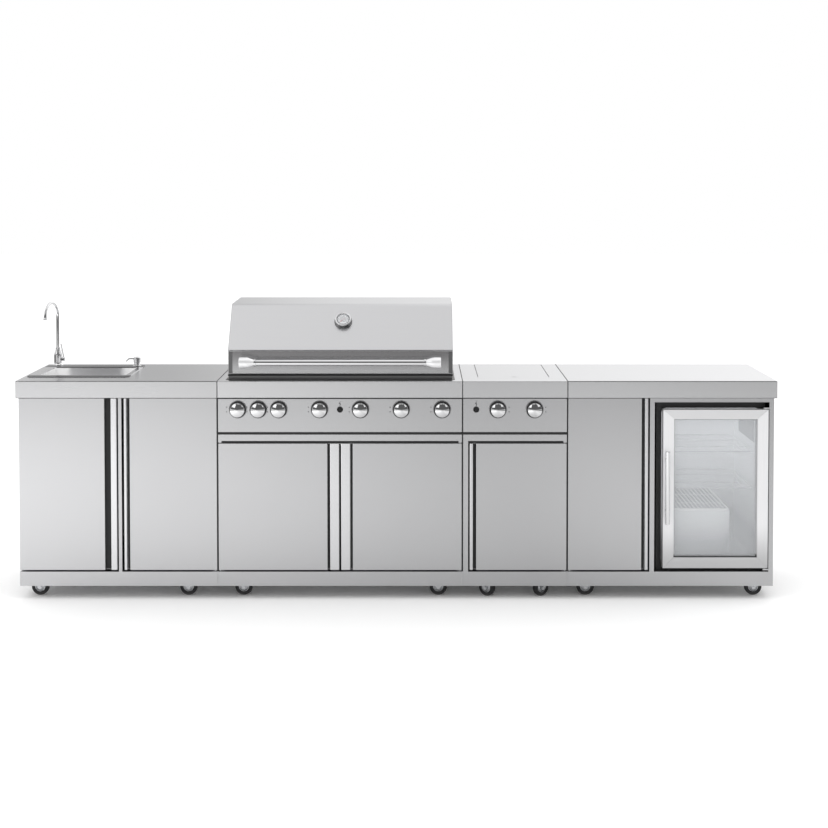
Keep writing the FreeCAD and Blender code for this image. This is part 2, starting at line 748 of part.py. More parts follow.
def soap_bottle():
    """The dispenser's collar on the ledge, its neck and the bottle below."""
    low = WORKTOP_Z - 135
    return turned([
        (0, low),
        (28, low),
        (28, low + 98),
        (12, low + 112),
        (12, LEDGE_Z),
        (19, LEDGE_Z),
        (16, LEDGE_Z + 8),
        (7, LEDGE_Z + 8),
        (7, low + 111),
        (26, low + 96),
        (26, low + 2),
        (0, low + 2),
    ], (SOAP_X, SOAP_Y, 0))


def soap_pump():
    """The pressed head with its stem and a spout that droops to the left."""
    head_z = LEDGE_Z + 21
    head = turned([
        (0, head_z - 70),
        (6.4, head_z - 70),
        (6.4, head_z),
        (15.5, head_z),
        (15.5, head_z + 15),
        (12, head_z + 19),
        (0, head_z + 20),
    ])
    elbow = (-38, -8, head_z + 13)
    nozzle = rod(3.5, (0, 0, head_z + 12), elbow).fuse(rod(3.5, elbow, (-48, -10, head_z)))
    joint = Part.makeSphere(3.5, Vector(*elbow))
    return moved(fused(head, nozzle, joint), 0, SOAP_X, SOAP_Y)


# Grill

def firebox():
    """The cooking box of welded sheets with its flange, grate ledges, lid hinge ears and tray rails."""
    low, high = FIREBOX_Z
    inside_x, inside_y = spread(FIREBOX_X, -SHEET), spread(FIREBOX_Y, -SHEET)
    upright = (low + SHEET, high)
    floor = box(FIREBOX_X, FIREBOX_Y, (low, low + SHEET))
    grease_slot = box((GRILL_X - 300, GRILL_X + 300), (-30, 60), (low - 1, low + SHEET + 1))
    ledge_z = (GRATE_Z - SHEET, GRATE_Z)
    sheets = [
        floor.cut(grease_slot),
        *frame_strips(FIREBOX_X, FIREBOX_Y, inside_x, inside_y, upright),
        box(inside_x, (inside_y[0], inside_y[0] + LEDGE_REACH), ledge_z),
        box(inside_x, (GRATE_Y[1] - LEDGE_REACH, inside_y[1]), ledge_z),
    ]
    flange_x, flange_y = spread(FIREBOX_X, FLANGE_REACH[0]), spread(FIREBOX_Y, FLANGE_REACH[1])
    flanges = frame_strips(flange_x, flange_y, FIREBOX_X, FIREBOX_Y, (WORKTOP_Z, WORKTOP_Z + SHEET))
    return [*sheets, *flanges, *hinge_ears(), *tray_rails()]


def frame_strips(x, y, inner_x, inner_y, z):
    """Four strips round a rectangular opening, the front and rear ones over the full width."""
    return [
        box(x, (y[0], inner_y[0]), z),
        box(x, (inner_y[1], y[1]), z),
        box((x[0], inner_x[0]), inner_y, z),
        box((inner_x[1], x[1]), inner_y, z),
    ]


def hinge_ears():
    """An ear with an outward pin at each end of the firebox, on which the lid turns."""
    y, z = LID_HINGE
    ears = []
    for outer, away in ((FIREBOX_X[0], -1), (FIREBOX_X[1], 1)):
        plate_x = sorted((outer, outer + away * 4))
        plate = box(plate_x, (y - 8, y + 7), (WORKTOP_Z + SHEET, z + 9))
        pin = rod(LID_PIN_R, (outer + away * 2, y, z), (outer + away * 9, y, z))
        ears.append(fused(plate, pin))
    return ears


def tray_rails():
    """A turned-in rail at each side under the firebox for the drip tray."""
    rails = []
    for edge, away in ((TRAY_X[0], -1), (TRAY_X[1], 1)):
        outer = edge + away * 5
        low = TRAY_Z[0] - 0.5 - SHEET
        path = [(outer - away * 14, low), (outer, low), (outer, FIREBOX_Z[0])]
        outline = bent_sheet(path if away < 0 else path[::-1])
        rails.append(slab("y", outline, TRAY_Y[0], FIREBOX_Y[1]))
    return rails


def drip_tray():
    """A shallow open tray that slides out at the rear, its end turned down as a pull."""
    outer = box(TRAY_X, TRAY_Y, TRAY_Z)
    rear = TRAY_Y[1] - 14
    inside = box(spread(TRAY_X, -SHEET), (TRAY_Y[0] + SHEET, rear), (TRAY_Z[0] + SHEET, TRAY_Z[1] + 1))
    pull_y = (rear + SHEET, TRAY_Y[1] - SHEET)
    finger_hole = box((GRILL_X - 60, GRILL_X + 60), pull_y, (TRAY_Z[0] - 1, TRAY_Z[1] - 4))
    return outer.cut(inside).cut(finger_hole)


def grates():
    """Cast grates side by side, each a frame with long slots between its bars."""
    inside = spread(FIREBOX_X, -SHEET - 1)
    pitch = (inside[1] - inside[0]) / GRATE_COUNT
    bar_pitch = (pitch - 12) / GRATE_SLOTS
    slot_y = spread(GRATE_Y, -16)
    slot_z = (GRATE_Z - 1, GRATE_Z + GRATE_THICK + 1)
    panels = []
    for index in range(GRATE_COUNT):
        left = inside[0] + index * pitch
        panel = box((left + 1, left + pitch - 1), GRATE_Y, (GRATE_Z, GRATE_Z + GRATE_THICK))
        slots = []
        for slot in range(GRATE_SLOTS):
            start = left + 6 + slot * bar_pitch + bar_pitch * 0.25
            slots.append(box((start, start + bar_pitch * 0.5), slot_y, slot_z))
        panels.append(panel.cut(Part.makeCompound(slots)))
    return panels


def grill_burners():
    """Tube burners from wall to wall with a peaked flame tamer over each, and the rear burner."""
    y = spread(FIREBOX_Y, -SHEET)
    pitch = FIREBOX_WIDTH / (BURNER_TUBES + 0.3)
    parts = []
    for index in range(BURNER_TUBES):
        x = GRILL_X + (index - (BURNER_TUBES - 1) / 2) * pitch
        parts.append(rod(BURNER_TUBE_R, (x, y[0], 800), (x, y[1], 800)))
        peak = bent_sheet([(x - 32, 838), (x, 862), (x + 32, 838)])
        parts.append(slab("y", peak, *y))
    rear_z = (GRATE_Z + GRATE_THICK, FIREBOX_Z[1] - 8)
    parts.append(box((GRILL_X - 260, GRILL_X + 260), (GRATE_Y[1] + 1, y[1]), rear_z))
    return parts


def grill_lid():
    """The hood: a folded outer skin, an inner liner bent to meet it, and two end caps."""
    x = (GRILL_X - LID_WIDTH / 2, GRILL_X + LID_WIDTH / 2)
    hy, hz = LID_HINGE
    skin_x = spread(x, -SHEET)
    skin = slab("x", bent_sheet(LID_SKIN), *skin_x)
    for edge, away in ((skin_x[0], 1), (skin_x[1], -1)):
        clear = sorted((edge - away, edge + away * 10))
        skin = skin.cut(box(clear, (hy + 6, hy + 12), (LID_Z, hz + 16)))
    liner = slab("x", bent_sheet(LID_LINER), *spread(x, -SHEET * 6))
    base, lean = dial_seat()
    seat, out = Vector(*base), Vector(*lean)
    stem_hole = rod(DIAL_STEM_R + FORK_GAP, tuple(seat - out * 40), tuple(seat + out * 9))
    side = LID_SKIN[1:-1] + [(LID_SKIN[-1][0], LID_Z)]
    bore = rod(LID_PIN_R + RUNNING, (x[0] - 1, hy, hz), (x[1] + 1, hy, hz))
    caps = [slab("x", side, x[0], skin_x[0]).cut(bore), slab("x", side, skin_x[1], x[1]).cut(bore)]
    return [skin.cut(stem_hole), liner.cut(stem_hole), *caps]


def dial_seat():
    """The point on the sloped front where the thermometer stands, and the slope's outward normal."""
    (y0, z0), (y1, z1) = LID_SKIN[3], LID_SKIN[4]
    share = (DIAL_Z - z0) / (z1 - z0)
    length = math.hypot(y1 - y0, z1 - z0)
    base = (GRILL_X + DIAL_SHIFT, y0 + share * (y1 - y0), DIAL_Z)
    return base, (0.0, -(z1 - z0) / length, (y1 - y0) / length)


def thermometer():
    """A round dial housing with a raised bezel, its collar on the lid and its stem through it."""
    base, lean = dial_seat()
    return turned([
        (0, -30),
        (DIAL_STEM_R, -30),
        (DIAL_STEM_R, 0),
        (DIAL_R, 0),
        (DIAL_R, DIAL_THICK),
        (DIAL_R - 5, DIAL_THICK),
        (DIAL_R - 5, DIAL_THICK - 3),
        (0, DIAL_THICK - 3),
    ], base, lean)


def lid_handle():
    """A tube across the lid's band between two brackets that flare out to the band."""
    band_y = LID_SKIN[1][0]
    left, right = GRILL_X - HANDLE_HALF, GRILL_X + HANDLE_HALF
    parts = [rod(HANDLE_R, (left, HANDLE_Y, HANDLE_Z), (right, HANDLE_Y, HANDLE_Z))]
    for side in (-1, 1):
        x = GRILL_X + side * (HANDLE_HALF - 6)
        reach = band_y - HANDLE_Y
        profile = [(0, 0), (20, 0), (12, 14), (12, reach), (0, reach)]
        foot = turned(profile, (x, band_y, HANDLE_Z), (0, -1, 0))
        start = Vector(x - side * 8, HANDLE_Y, HANDLE_Z)
        collar = Part.makeCone(HANDLE_R, COLLAR_R, COLLAR_LENGTH, start, Vector(side, 0, 0))
        parts += [foot, collar]
    return fused(*parts)


# Control panels, knobs and igniters

def knob_places():
    """Every knob's name and its X, the seven of the grill first."""
    places = {}
    for number, step in enumerate(GRILL_KNOB_STEPS, 1):
        places[f"grill_knob_{number}"] = GRILL_X + step * KNOB_PITCH
    for number, x in enumerate(BURNER_KNOB_X, 1):
        places[f"burner_knob_{number}"] = x
    return places


def igniter_places():
    """The two igniter buttons and their X."""
    return {"grill_igniter": GRILL_X, "burner_igniter": BURNER_IGNITER_X}


def control_panel(unit):
    """A folded panel with a raised round bezel for each control and a hole for its shaft."""
    x = cabinet_span(unit)
    low, high = PANEL_Z
    path = [(FRAME_Y, low), (FACE_Y, low), (FACE_Y, high), (FRAME_Y, high)]
    panel = slab("x", bent_sheet(path), *x)
    controls = [(knob_x, BEZEL_R, SHAFT_R + RUNNING) for knob_x in knob_places().values()]
    controls += [(button_x, BUTTON_BEZEL_R, BUTTON_R + FORK_GAP) for button_x in igniter_places().values()]
    controls = [control for control in controls if x[0] < control[0] < x[1]]
    bezels = [rod(radius, bezel_face(at), (at, FACE_Y, KNOB_Z)) for at, radius, bore in controls]
    shafts = [rod(bore, bezel_face(at), (at, FACE_Y + SHEET + 1, KNOB_Z)) for at, radius, bore in controls]
    return panel.fuse(bezels).cut(Part.makeCompound(shafts))


def bezel_face(x):
    """The middle of a bezel's front."""
    return (x, FACE_Y - BEZEL_THICK, KNOB_Z)


def knob(x):
    """A knob with narrow flats round its grip and a raised index rib, on its valve shaft."""
    rear = FACE_Y - BEZEL_THICK - FORK_GAP
    front = FACE_Y - KNOB_REACH
    face = front + INDEX_PROUD
    turns = [2 * math.pi * number / KNOB_FLATS for number in range(KNOB_FLATS)]
    outline = [(x + KNOB_R * math.cos(turn), KNOB_Z + KNOB_R * math.sin(turn)) for turn in turns]
    grip = slab("y", outline, face, rear)
    shaft = rod(SHAFT_R, (x, rear - 1, KNOB_Z), (x, rear + SHAFT_LENGTH, KNOB_Z))
    top = KNOB_Z + KNOB_R
    index = box((x - 1.5, x + 1.5), (front, face + 1), (top - 14, top - 1))
    return fused(grip, shaft, index)


def igniter(x):
    """A round push button that slides in its bezel."""
    front = FACE_Y - BEZEL_THICK - 3
    return rod(BUTTON_R, (x, front, KNOB_Z), (x, front + BUTTON_LENGTH, KNOB_Z))


# Side burner

def hob_tub():
    """The side burner's recessed tub under the worktop, with the two pins of its lid."""
    outer = box(spread(HOB_X, SHEET), spread(HOB_Y, SHEET), (HOB_FLOOR, UNDER_TOP))
    flange = box(spread(HOB_X, 14), spread(HOB_Y, 6), (UNDER_TOP - SHEET, UNDER_TOP))
    tub_shell = outer.fuse(flange).cut(box(HOB_X, HOB_Y, (HOB_FLOOR + SHEET, UNDER_TOP + 1)))
    y, z = HOB_HINGE
    pins = [
        rod(HOB_PIN_R, (HOB_X[0] - 1, y, z), (HOB_X[0] + 6, y, z)),
        rod(HOB_PIN_R, (HOB_X[1] - 6, y, z), (HOB_X[1] + 1, y, z)),
    ]
    return tub_shell.fuse(pins)


def hob_burner():
    """The burner head with its cap, and the crossed bars that carry a pan."""
    x, y = sum(HOB_X) / 2, 70.0
    floor = HOB_FLOOR + SHEET
    head = turned([(0, 0), (34, 0), (48, 14), (48, 26), (38, 26), (36, 34), (0, 34)], (x, y, floor))
    bars = [box(HOB_X, (y + off - 3, y + off + 3), (floor + 34, floor + 44)) for off in (-70, 70)]
    bars += [box((x + off - 3, x + off + 3), HOB_Y, (floor + 34, floor + 44)) for off in (-70, 70)]
    return [head, fused(*bars)]


def burner_lid():
    """A shallow folded lid that lies flush in the worktop, notched at the front for a finger."""
    x, y = spread(HOB_X, -HOB_GAP), spread(HOB_Y, -HOB_GAP)
    z = (WORKTOP_Z - 8, WORKTOP_Z)
    hollow = box(spread(x, -DOOR_SHEET), spread(y, -DOOR_SHEET), (z[0] - 1, z[1] - DOOR_SHEET))
    shell = box(x, y, z).cut(hollow)
    hy, hz = HOB_HINGE
    bore = rod(HOB_PIN_R + RUNNING, (x[0] - 1, hy, hz), (x[1] + 1, hy, hz))
    middle = sum(HOB_X) / 2
    notch = rod(15.0, (middle, y[0] - 3, z[0] - 1), (middle, y[0] - 3, z[1] + 1))
    return shell.cut(bore).cut(notch)


# Refrigerator

def fridge_body():
    """An insulated box open at the front, with the step over its compressor at the lower left."""
    inside_x = spread(FRIDGE_X, -FRIDGE_WALL)
    inside_z = spread(FRIDGE_Z, -FRIDGE_WALL)
    outer = box(FRIDGE_X, FRIDGE_Y, FRIDGE_Z)
    cavity = box(inside_x, (FRIDGE_Y[0] - 1, FRIDGE_Y[1] - FRIDGE_WALL), inside_z)
    step = box((inside_x[0], HUMP_X), (HUMP_Y, FRIDGE_Y[1] - FRIDGE_WALL), (inside_z[0], HUMP_Z))
    return [outer.cut(cavity), step]


def fridge_racks():
    """Two full shelves and a wire half-rack over the step."""
    inside_x = spread(FRIDGE_X, -FRIDGE_WALL)
    rear = FRIDGE_Y[1] - FRIDGE_WALL
    parts = [box(inside_x, (HUMP_Y + 12, rear), (z, z + 5)) for z in SHELF_Z]
    frame = box((inside_x[0], HUMP_X), (HUMP_Y, rear), (HUMP_Z, HUMP_Z + 5))
    wires = 12
    pitch = (HUMP_X - inside_x[0] - 8) / wires
    gaps = []
    for index in range(wires):
        left = inside_x[0] + 6 + index * pitch
        gaps.append(box((left, left + pitch - 4), (HUMP_Y + 6, rear - 6), (HUMP_Z - 1, HUMP_Z + 6)))
    parts.append(frame.cut(Part.makeCompound(gaps)))
    return parts


def glass_door_frame():
    """Four mitred rails round the glass, and the bar handle on two standoffs."""
    x, z = GLASS_DOOR_X, GLASS_DOOR_Z
    side, foot, head = GLASS_DOOR_RIM
    in_x = (x[0] + side, x[1] - side)
    in_z = (z[0] + foot, z[1] - head)
    y = (FACE_Y, FACE_Y + GLASS_DOOR_THICK)
    rails = [
        [(x[0], z[0]), (in_x[0], in_z[0]), (in_x[0], in_z[1]), (x[0], z[1])],
        [(x[1], z[0]), (in_x[1], in_z[0]), (in_x[1], in_z[1]), (x[1], z[1])],
        [(x[0], z[0]), (x[1], z[0]), (in_x[1], in_z[0]), (in_x[0], in_z[0])],
        [(x[0], z[1]), (x[1], z[1]), (in_x[1], in_z[1]), (in_x[0], in_z[1])],
    ]
    px, py = x[1] - GLASS_PIVOT[0], FACE_Y + GLASS_PIVOT[1]
    sockets = [
        rod(SHAFT_R + RUNNING, (px, py, z[0] - 1), (px, py, z[0] + PIVOT_LENGTH + 1)),
        rod(SHAFT_R + RUNNING, (px, py, z[1] - PIVOT_LENGTH - 1), (px, py, z[1] + 1)),
    ]
    frame = [slab("y", rail, *y).cut(Part.makeCompound(sockets)) for rail in rails]
    return frame + [glass_door_handle()]


def glass_door_handle():
    """An upright bar standing off the glass door's left side."""
    x = GLASS_DOOR_X[0] + 16
    y = FACE_Y - 26
    bar = rod(9, (x, y, 327), (x, y, 639))
    standoffs = [rod(6, (x, FACE_Y, z), (x, y, z)) for z in (384, 601)]
    return fused(bar, *standoffs)


def glass_panes():
    """The sealed pair of panes in the glass door."""
    side, foot, head = GLASS_DOOR_RIM
    x = spread(GLASS_DOOR_X, -side)
    z = (GLASS_DOOR_Z[0] + foot, GLASS_DOOR_Z[1] - head)
    return [box(x, (FACE_Y + 7, FACE_Y + 11), z), box(x, (FACE_Y + 25, FACE_Y + 29), z)]


def build():
    """Writes every sub-part of the island."""
    os.makedirs("parts", exist_ok=True)
    save_cabinets()
    save_worktops()
    save_front_casters()
    save_rear_wheels()
    save("sink_basin", *sink_rim(), *sink_bowl(), *strainer())
    save("tap_body", *tap_body(), soap_bottle())
    save("tap_spout", tap_spout())
    save("tap_lever", tap_lever())
    save("soap_pump", soap_pump())
    save("firebox", *firebox())
    save("gas_burners", *grill_burners(), hob_tub(), *hob_burner())
    save("cooking_grates", *grates())
    save("drip_tray", drip_tray())
    save("grill_lid", *grill_lid())
    save("lid_handle", lid_handle())
    save("thermometer", thermometer())
    save("control_panels", control_panel("grill"), control_panel("burner"))
    save("burner_lid", burner_lid())
    save("fridge_body", *fridge_body())
    save("fridge_racks", *fridge_racks())
    save("glass_door_frame", *glass_door_frame())
    save("glass_door_panes", *glass_panes())
    for name in DOORS:
        save(name, *door(name))
    for name, x in knob_places().items():
        save(name, knob(x))
    for name, x in igniter_places().items():
        save(name, igniter(x))


build()
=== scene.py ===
"""Looks of the outdoor kitchen island: sheet steel, controls, tap, lids, casters and the studio."""

import json
import math

import bmesh
import bpy
import numpy as np
from bpy.props import FloatProperty, FloatVectorProperty, PointerProperty
from bpy.types import Operator, Panel, PropertyGroup
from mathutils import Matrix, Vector


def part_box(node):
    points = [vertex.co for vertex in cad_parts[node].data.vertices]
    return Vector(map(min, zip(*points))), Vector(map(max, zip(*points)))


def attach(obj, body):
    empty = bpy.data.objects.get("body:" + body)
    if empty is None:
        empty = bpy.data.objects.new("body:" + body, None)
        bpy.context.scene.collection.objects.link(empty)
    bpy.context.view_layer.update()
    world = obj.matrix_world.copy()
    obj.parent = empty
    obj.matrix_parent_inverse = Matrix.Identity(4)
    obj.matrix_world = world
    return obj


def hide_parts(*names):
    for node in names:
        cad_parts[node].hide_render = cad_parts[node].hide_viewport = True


bl_info = {
    "name": "Outdoor Kitchen Island",
    "version": (1, 0, 0),
    "blender": (4, 5, 0),
    "location": "View3D > Sidebar > Kitchen Island",
    "description": "Dresses the packed outdoor kitchen island in steel, chrome, glass and rubber",
    "category": "Object",
}

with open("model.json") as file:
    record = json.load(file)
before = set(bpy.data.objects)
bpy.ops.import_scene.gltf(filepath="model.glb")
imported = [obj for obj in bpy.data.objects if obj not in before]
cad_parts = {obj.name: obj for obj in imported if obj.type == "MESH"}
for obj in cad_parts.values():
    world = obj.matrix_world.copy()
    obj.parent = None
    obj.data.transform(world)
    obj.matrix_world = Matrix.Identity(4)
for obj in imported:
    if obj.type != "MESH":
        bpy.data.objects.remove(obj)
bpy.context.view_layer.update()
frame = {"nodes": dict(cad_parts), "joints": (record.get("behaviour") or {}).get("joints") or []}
ISLAND = "island"
UNITS = ("sink", "grill", "burner", "fridge")
UNDOABLE = {"REGISTER", "UNDO"}
TURN = 2 * math.pi
BLACK = (0.0, 0.0, 0.0, 1.0)
WHITE = (1.0, 1.0, 1.0, 1.0)

# Places in metres: the Y of the front of the doors and of the hood's band
FACE = -0.280
BAND_FACE = -0.222
# The hood's sloped front as (Y, Z) of its foot and of its head, and the height of the dial on it
SLOPE = ((-0.230, 1.060), (-0.078, 1.247))
DIAL_HEIGHT = 1.174
# The heights of the plinth and of the rail between a panel and its doors
PLINTH = (0.058, 0.121)
RAIL = (0.679, 0.706)
# The sink's bowl along X and Y
BOWL = ((-1.552, -1.182), (-0.105, 0.183))
# The refrigerator's shelves, and the right end and top of the step over its compressor
SHELVES = (0.458, 0.615)
STEP_END = 1.432
STEP_TOP = 0.368


# Shapes worked out as arrays

def arc(radius, start, end, steps, centre=(0.0, 0.0)):
    """Points of a circle: centre plus radius times (cosine, sine) of an angle from start to end."""
    turn = np.linspace(start, end, steps)
    return np.stack([centre[0] + radius * np.cos(turn), centre[1] + radius * np.sin(turn)], 1)


def bent(corners, radius, steps=5, closed=False):
    """An outline with its corners rounded. Each bend is a quadratic curve from radius before the
    corner to radius after it, (1-t)^2 A + 2t(1-t) P + t^2 B, and is shorter where a run is short."""
    points = np.asarray(corners, float)
    before, after = np.roll(points, 1, 0), np.roll(points, -1, 0)
    radius = np.broadcast_to(np.asarray(radius, float), len(points)).copy()
    to_before, to_after = before - points, after - points
    reach_before = np.linalg.norm(to_before, axis=1)
    reach_after = np.linalg.norm(to_after, axis=1)
    if not closed:
        radius[[0, -1]] = 0.0
    take = np.minimum(radius, 0.49 * np.minimum(reach_before, reach_after))
    start = points + to_before * (take / np.maximum(reach_before, 1e-12))[:, None]
    end = points + to_after * (take / np.maximum(reach_after, 1e-12))[:, None]
    t = np.linspace(0, 1, steps)[None, :, None]
    curve = (1 - t) ** 2 * start[:, None] + 2 * t * (1 - t) * points[:, None] + t ** 2 * end[:, None]
    kept = np.where(take[:, None] > 0, True, np.arange(steps)[None] == 0)
    return curve[kept]


def inset(outline, amount):
    """A closed outline moved to its left by an amount, each point along the mean of its two edges'
    normals over the cosine of half the turn."""
    edge = np.roll(outline, -1, 0) - outline
    edge /= np.linalg.norm(edge, axis=1)[:, None]
    normal = np.stack([-edge[:, 1], edge[:, 0]], 1)
    mean = normal + np.roll(normal, 1, 0)
    return outline + amount * 2 * mean / np.maximum((mean ** 2).sum(1), 1.0)[:, None]


def anticlockwise(outline):
    """The outline in the order that keeps its inside on the left."""
    outline = np.asarray(outline, float)
    after = np.roll(outline, -1, 0)
    area = (outline[:, 0] * after[:, 1] - after[:, 0] * outline[:, 1]).sum()
    return outline if area > 0 else outline[::-1]


def round_rectangle(x, y, radius, steps=6):
    """A rectangle with arcs at its corners, given by its limits along two axes."""
    corners = [(x[0], y[0]), (x[1], y[0]), (x[1], y[1]), (x[0], y[1])]
    quarter = math.pi / 2
    signs = ((1, 1), (-1, 1), (-1, -1), (1, -1))
    runs = [
        arc(radius, math.pi + n * quarter, math.pi + (n + 1) * quarter, steps,
            (corners[n][0] + sx * radius, corners[n][1] + sy * radius))
        for n, (sx, sy) in enumerate(signs)
    ]
    return np.concatenate(runs)


def stroke(start, end, half):
    """The corners of a straight bar of twice half's width along the line from start to end."""
    way = end - start
    side = np.array([-way[1], way[0]]) / np.hypot(*way) * half
    return np.array([start - side, end - side, end + side, start + side])


def placed(flat, height, axis):
    """Plane points (u, v) at a height along an axis. The plane's two axes follow in the order X, Y, Z."""
    flat = np.asarray(flat, float)
    height = np.broadcast_to(height, flat.shape[:-1])
    first, second = flat[..., 0], flat[..., 1]
    order = {"x": (height, first, second), "y": (first, height, second), "z": (first, second, height)}
    return np.stack(order[axis], -1)


def lathe(profile, base=(0, 0, 0), axis="z", sign=1, steps=48):
    """Rows of a turned form: the point at angle a is radius times (cosine a, sine a) across the
    axis and height times sign along it, for each (radius, height) of the profile."""
    profile = np.asarray(profile, float)
    ring = arc(1.0, 0.0, TURN, steps + 1)[:-1]
    flat = profile[:, None, :1] * ring[None]
    return placed(flat, sign * profile[:, 1:2], axis) + np.asarray(base, float)


def prism(outline, axis, low, high, edge=0.0, steps=4):
    """Rows of a closed outline pushed along an axis, its two rims rounded: the inset and the height
    follow a quarter circle of radius edge."""
    outline = anticlockwise(outline)
    if not edge:
        return np.stack([placed(outline, low, axis), placed(outline, high, axis)])
    turn = np.linspace(0, math.pi / 2, steps)
    depth = edge * (1 - np.sin(turn))
    rise = edge * (1 - np.cos(turn))
    lower = [placed(inset(outline, d), low + r, axis) for d, r in zip(depth, rise)]
    upper = [placed(inset(outline, d), high - r, axis) for d, r in zip(depth[::-1], rise[::-1])]
    return np.stack(lower + upper)


def block(x, y, z, corner=0.0, edge=0.0, axis="y"):
    """Rows of a box with round corners across one axis and round rims along it."""
    limits = {"x": x, "y": y, "z": z}
    flat = [limits[name] for name in "xyz" if name != axis]
    corner = max(corner, edge * 1.01, 1e-5)
    return prism(round_rectangle(*flat, corner, 4), axis, *limits[axis], edge)


def tube(path, radius, sides=16, across=None):
    """Rows of a round tube: a circle of the local radius, square to the path's central difference.
    across is a direction that the path stays square to, or else one is chosen."""
    path = np.asarray(path, float)
    radius = np.broadcast_to(radius, len(path))
    along = np.gradient(path, axis=0)
    along /= np.linalg.norm(along, axis=1)[:, None]
    if across is None:
        across = np.eye(3)[np.abs(along).sum(0).argmin()]
    second = np.cross(along, across)
    second /= np.linalg.norm(second, axis=1)[:, None]
    first = np.cross(second, along)
    ring = arc(1.0, 0.0, TURN, sides + 1)[:-1]
    circle = first[:, None] * ring[None, :, :1] + second[:, None] * ring[None, :, 1:]
    return path[:, None] + radius[:, None, None] * circle


def round_ended(start, end, radius, rim, sides=16):
    """Rows of a straight rod with rounded ends, the radius near each end following a quarter circle."""
    start, end = np.asarray(start, float), np.asarray(end, float)
    reach = np.linalg.norm(end - start)
    turn = np.linspace(0, math.pi / 2, 5)
    near = rim * (1 - np.cos(turn))
    inward = rim * (1 - np.sin(turn))
    along = np.concatenate([near, reach - near[::-1]])
    radii = radius - np.concatenate([inward, inward[::-1]])
    path = start + (end - start) * (along / reach)[:, None]
    return tube(path, radii, sides)


def grid_faces(rows, columns, first):
    """The quads between neighbouring closed rows, counted from a first vertex, as one array."""
    row = np.arange(rows - 1)[:, None] * columns
    column = np.arange(columns)[None]
    after = (column + 1) % columns
    quads = np.stack([row + column, row + after, row + columns + after, row + columns + column], -1)
    return first + quads.reshape(-1, 4)


class Form:
    """A mesh being gathered from grids of points, each with its finish."""

    def __init__(self):
        self.points, self.faces, self.finishes, self.count = [], [], [], 0

    def add(self, rows, finish=0, capped=True):
        """Adds rows of points joined into a closed band, with a flat cap on both end rows or on
        those that a pair names."""
        rows = np.asarray(rows, float)
        height, width = rows.shape[:2]
        faces = grid_faces(height, width, self.count).tolist()
        first, last = capped if isinstance(capped, tuple) else (capped, capped)
        ring = self.count + np.arange(width)
        faces += [ring[::-1].tolist()] * first + [(ring + (height - 1) * width).tolist()] * last
        self.points.append(rows.reshape(-1, 3))
        self.faces += faces
        self.finishes += [finish] * len(faces)
        self.count += height * width

    def turn(self, profile, finish=0, base=(0, 0, 0), axis="z", sign=1, steps=48):
        """Adds a turned form, without caps on its first and last rows."""
        self.add(lathe(profile, base, axis, sign, steps), finish, capped=False)

    def stack(self, layers, finish=0, axis="z", capped=True):
        """Adds closed outlines joined along an axis, each with its own height."""
        self.add([placed(outline, height, axis) for outline, height in layers], finish, capped)

    def mesh(self, name):
        """The finished mesh, its doubles merged, its faces turned outwards and its sharp bends marked."""
        made = bpy.data.meshes.new(name)
        made.from_pydata(np.concatenate(self.points).tolist(), [], self.faces)
        made.polygons.foreach_set("material_index", np.array(self.finishes, np.int32))
        merge_and_face_out(made)
        made.shade_smooth()
        made.set_sharp_from_angle(angle=math.radians(38))
        return made


def merge_and_face_out(mesh):
    """Closes seams and poles, and turns every shell's faces outwards."""
    work = bmesh.new()
    work.from_mesh(mesh)
    bmesh.ops.remove_doubles(work, verts=work.verts, dist=1e-6)
    bmesh.ops.dissolve_degenerate(work, edges=work.edges, dist=1e-7)
    bmesh.ops.recalc_face_normals(work, faces=work.faces)
    work.to_mesh(mesh)
    work.free()


def piece(name, form, finishes, body, replaces=()):
    """Puts a gathered form into the scene, riding on a body, and lets it stand for CAD nodes."""
    mesh = form.mesh(name)
    for finish in finishes:
        mesh.materials.append(PALETTE[finish])
    made = bpy.data.objects.new(name, mesh)
    bpy.context.scene.collection.objects.link(made)
    shading = made.modifiers.new("flat_faces_first", "WEIGHTED_NORMAL")
    shading.keep_sharp = True
    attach(made, body)
    if replaces:
        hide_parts(*replaces)


def dress(node, finish):
    """Gives a CAD node's every material slot one finish."""
    for place in frame["nodes"][node].material_slots:
        place.link = "OBJECT"
        place.material = PALETTE[finish]


def limits(node):
    """The limits of a CAD node along X, Y and Z as three pairs."""
    low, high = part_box(node)
    return tuple(zip(low, high))


def middle(pair):
    """The middle of a pair of limits."""
    return (pair[0] + pair[1]) / 2


def grown(pair, by):
    """A pair of limits, each moved outwards by an amount."""
    return pair[0] - by, pair[1] + by


# Shader maths

class Wire:
    """One output of a shader node. Sums, differences and products of wires add Math nodes."""

    def __init__(self, finish, socket):
        self.finish = finish
        self.socket = socket

    def maths(self, operation, *values):
        """A Math node with the values as its inputs."""
        return self.finish.node("ShaderNodeMath", {"operation": operation}, dict(enumerate(values)))

    def __add__(self, other):
        return self.maths("ADD", self, other)

    def __sub__(self, other):
        return self.maths("SUBTRACT", self, other)

    def __mul__(self, other):
        return self.maths("MULTIPLY", self, other)

    def __rsub__(self, other):
        return self.maths("SUBTRACT", other, self)

    __radd__ = __add__
    __rmul__ = __mul__

    def between(self, low, high):
        """A smooth step from 0 at low to 1 at high."""
        return self.finish.node(
            "ShaderNodeMapRange", {"interpolation_type": "SMOOTHSTEP"},
            {"Value": self, "From Min": low, "From Max": high})


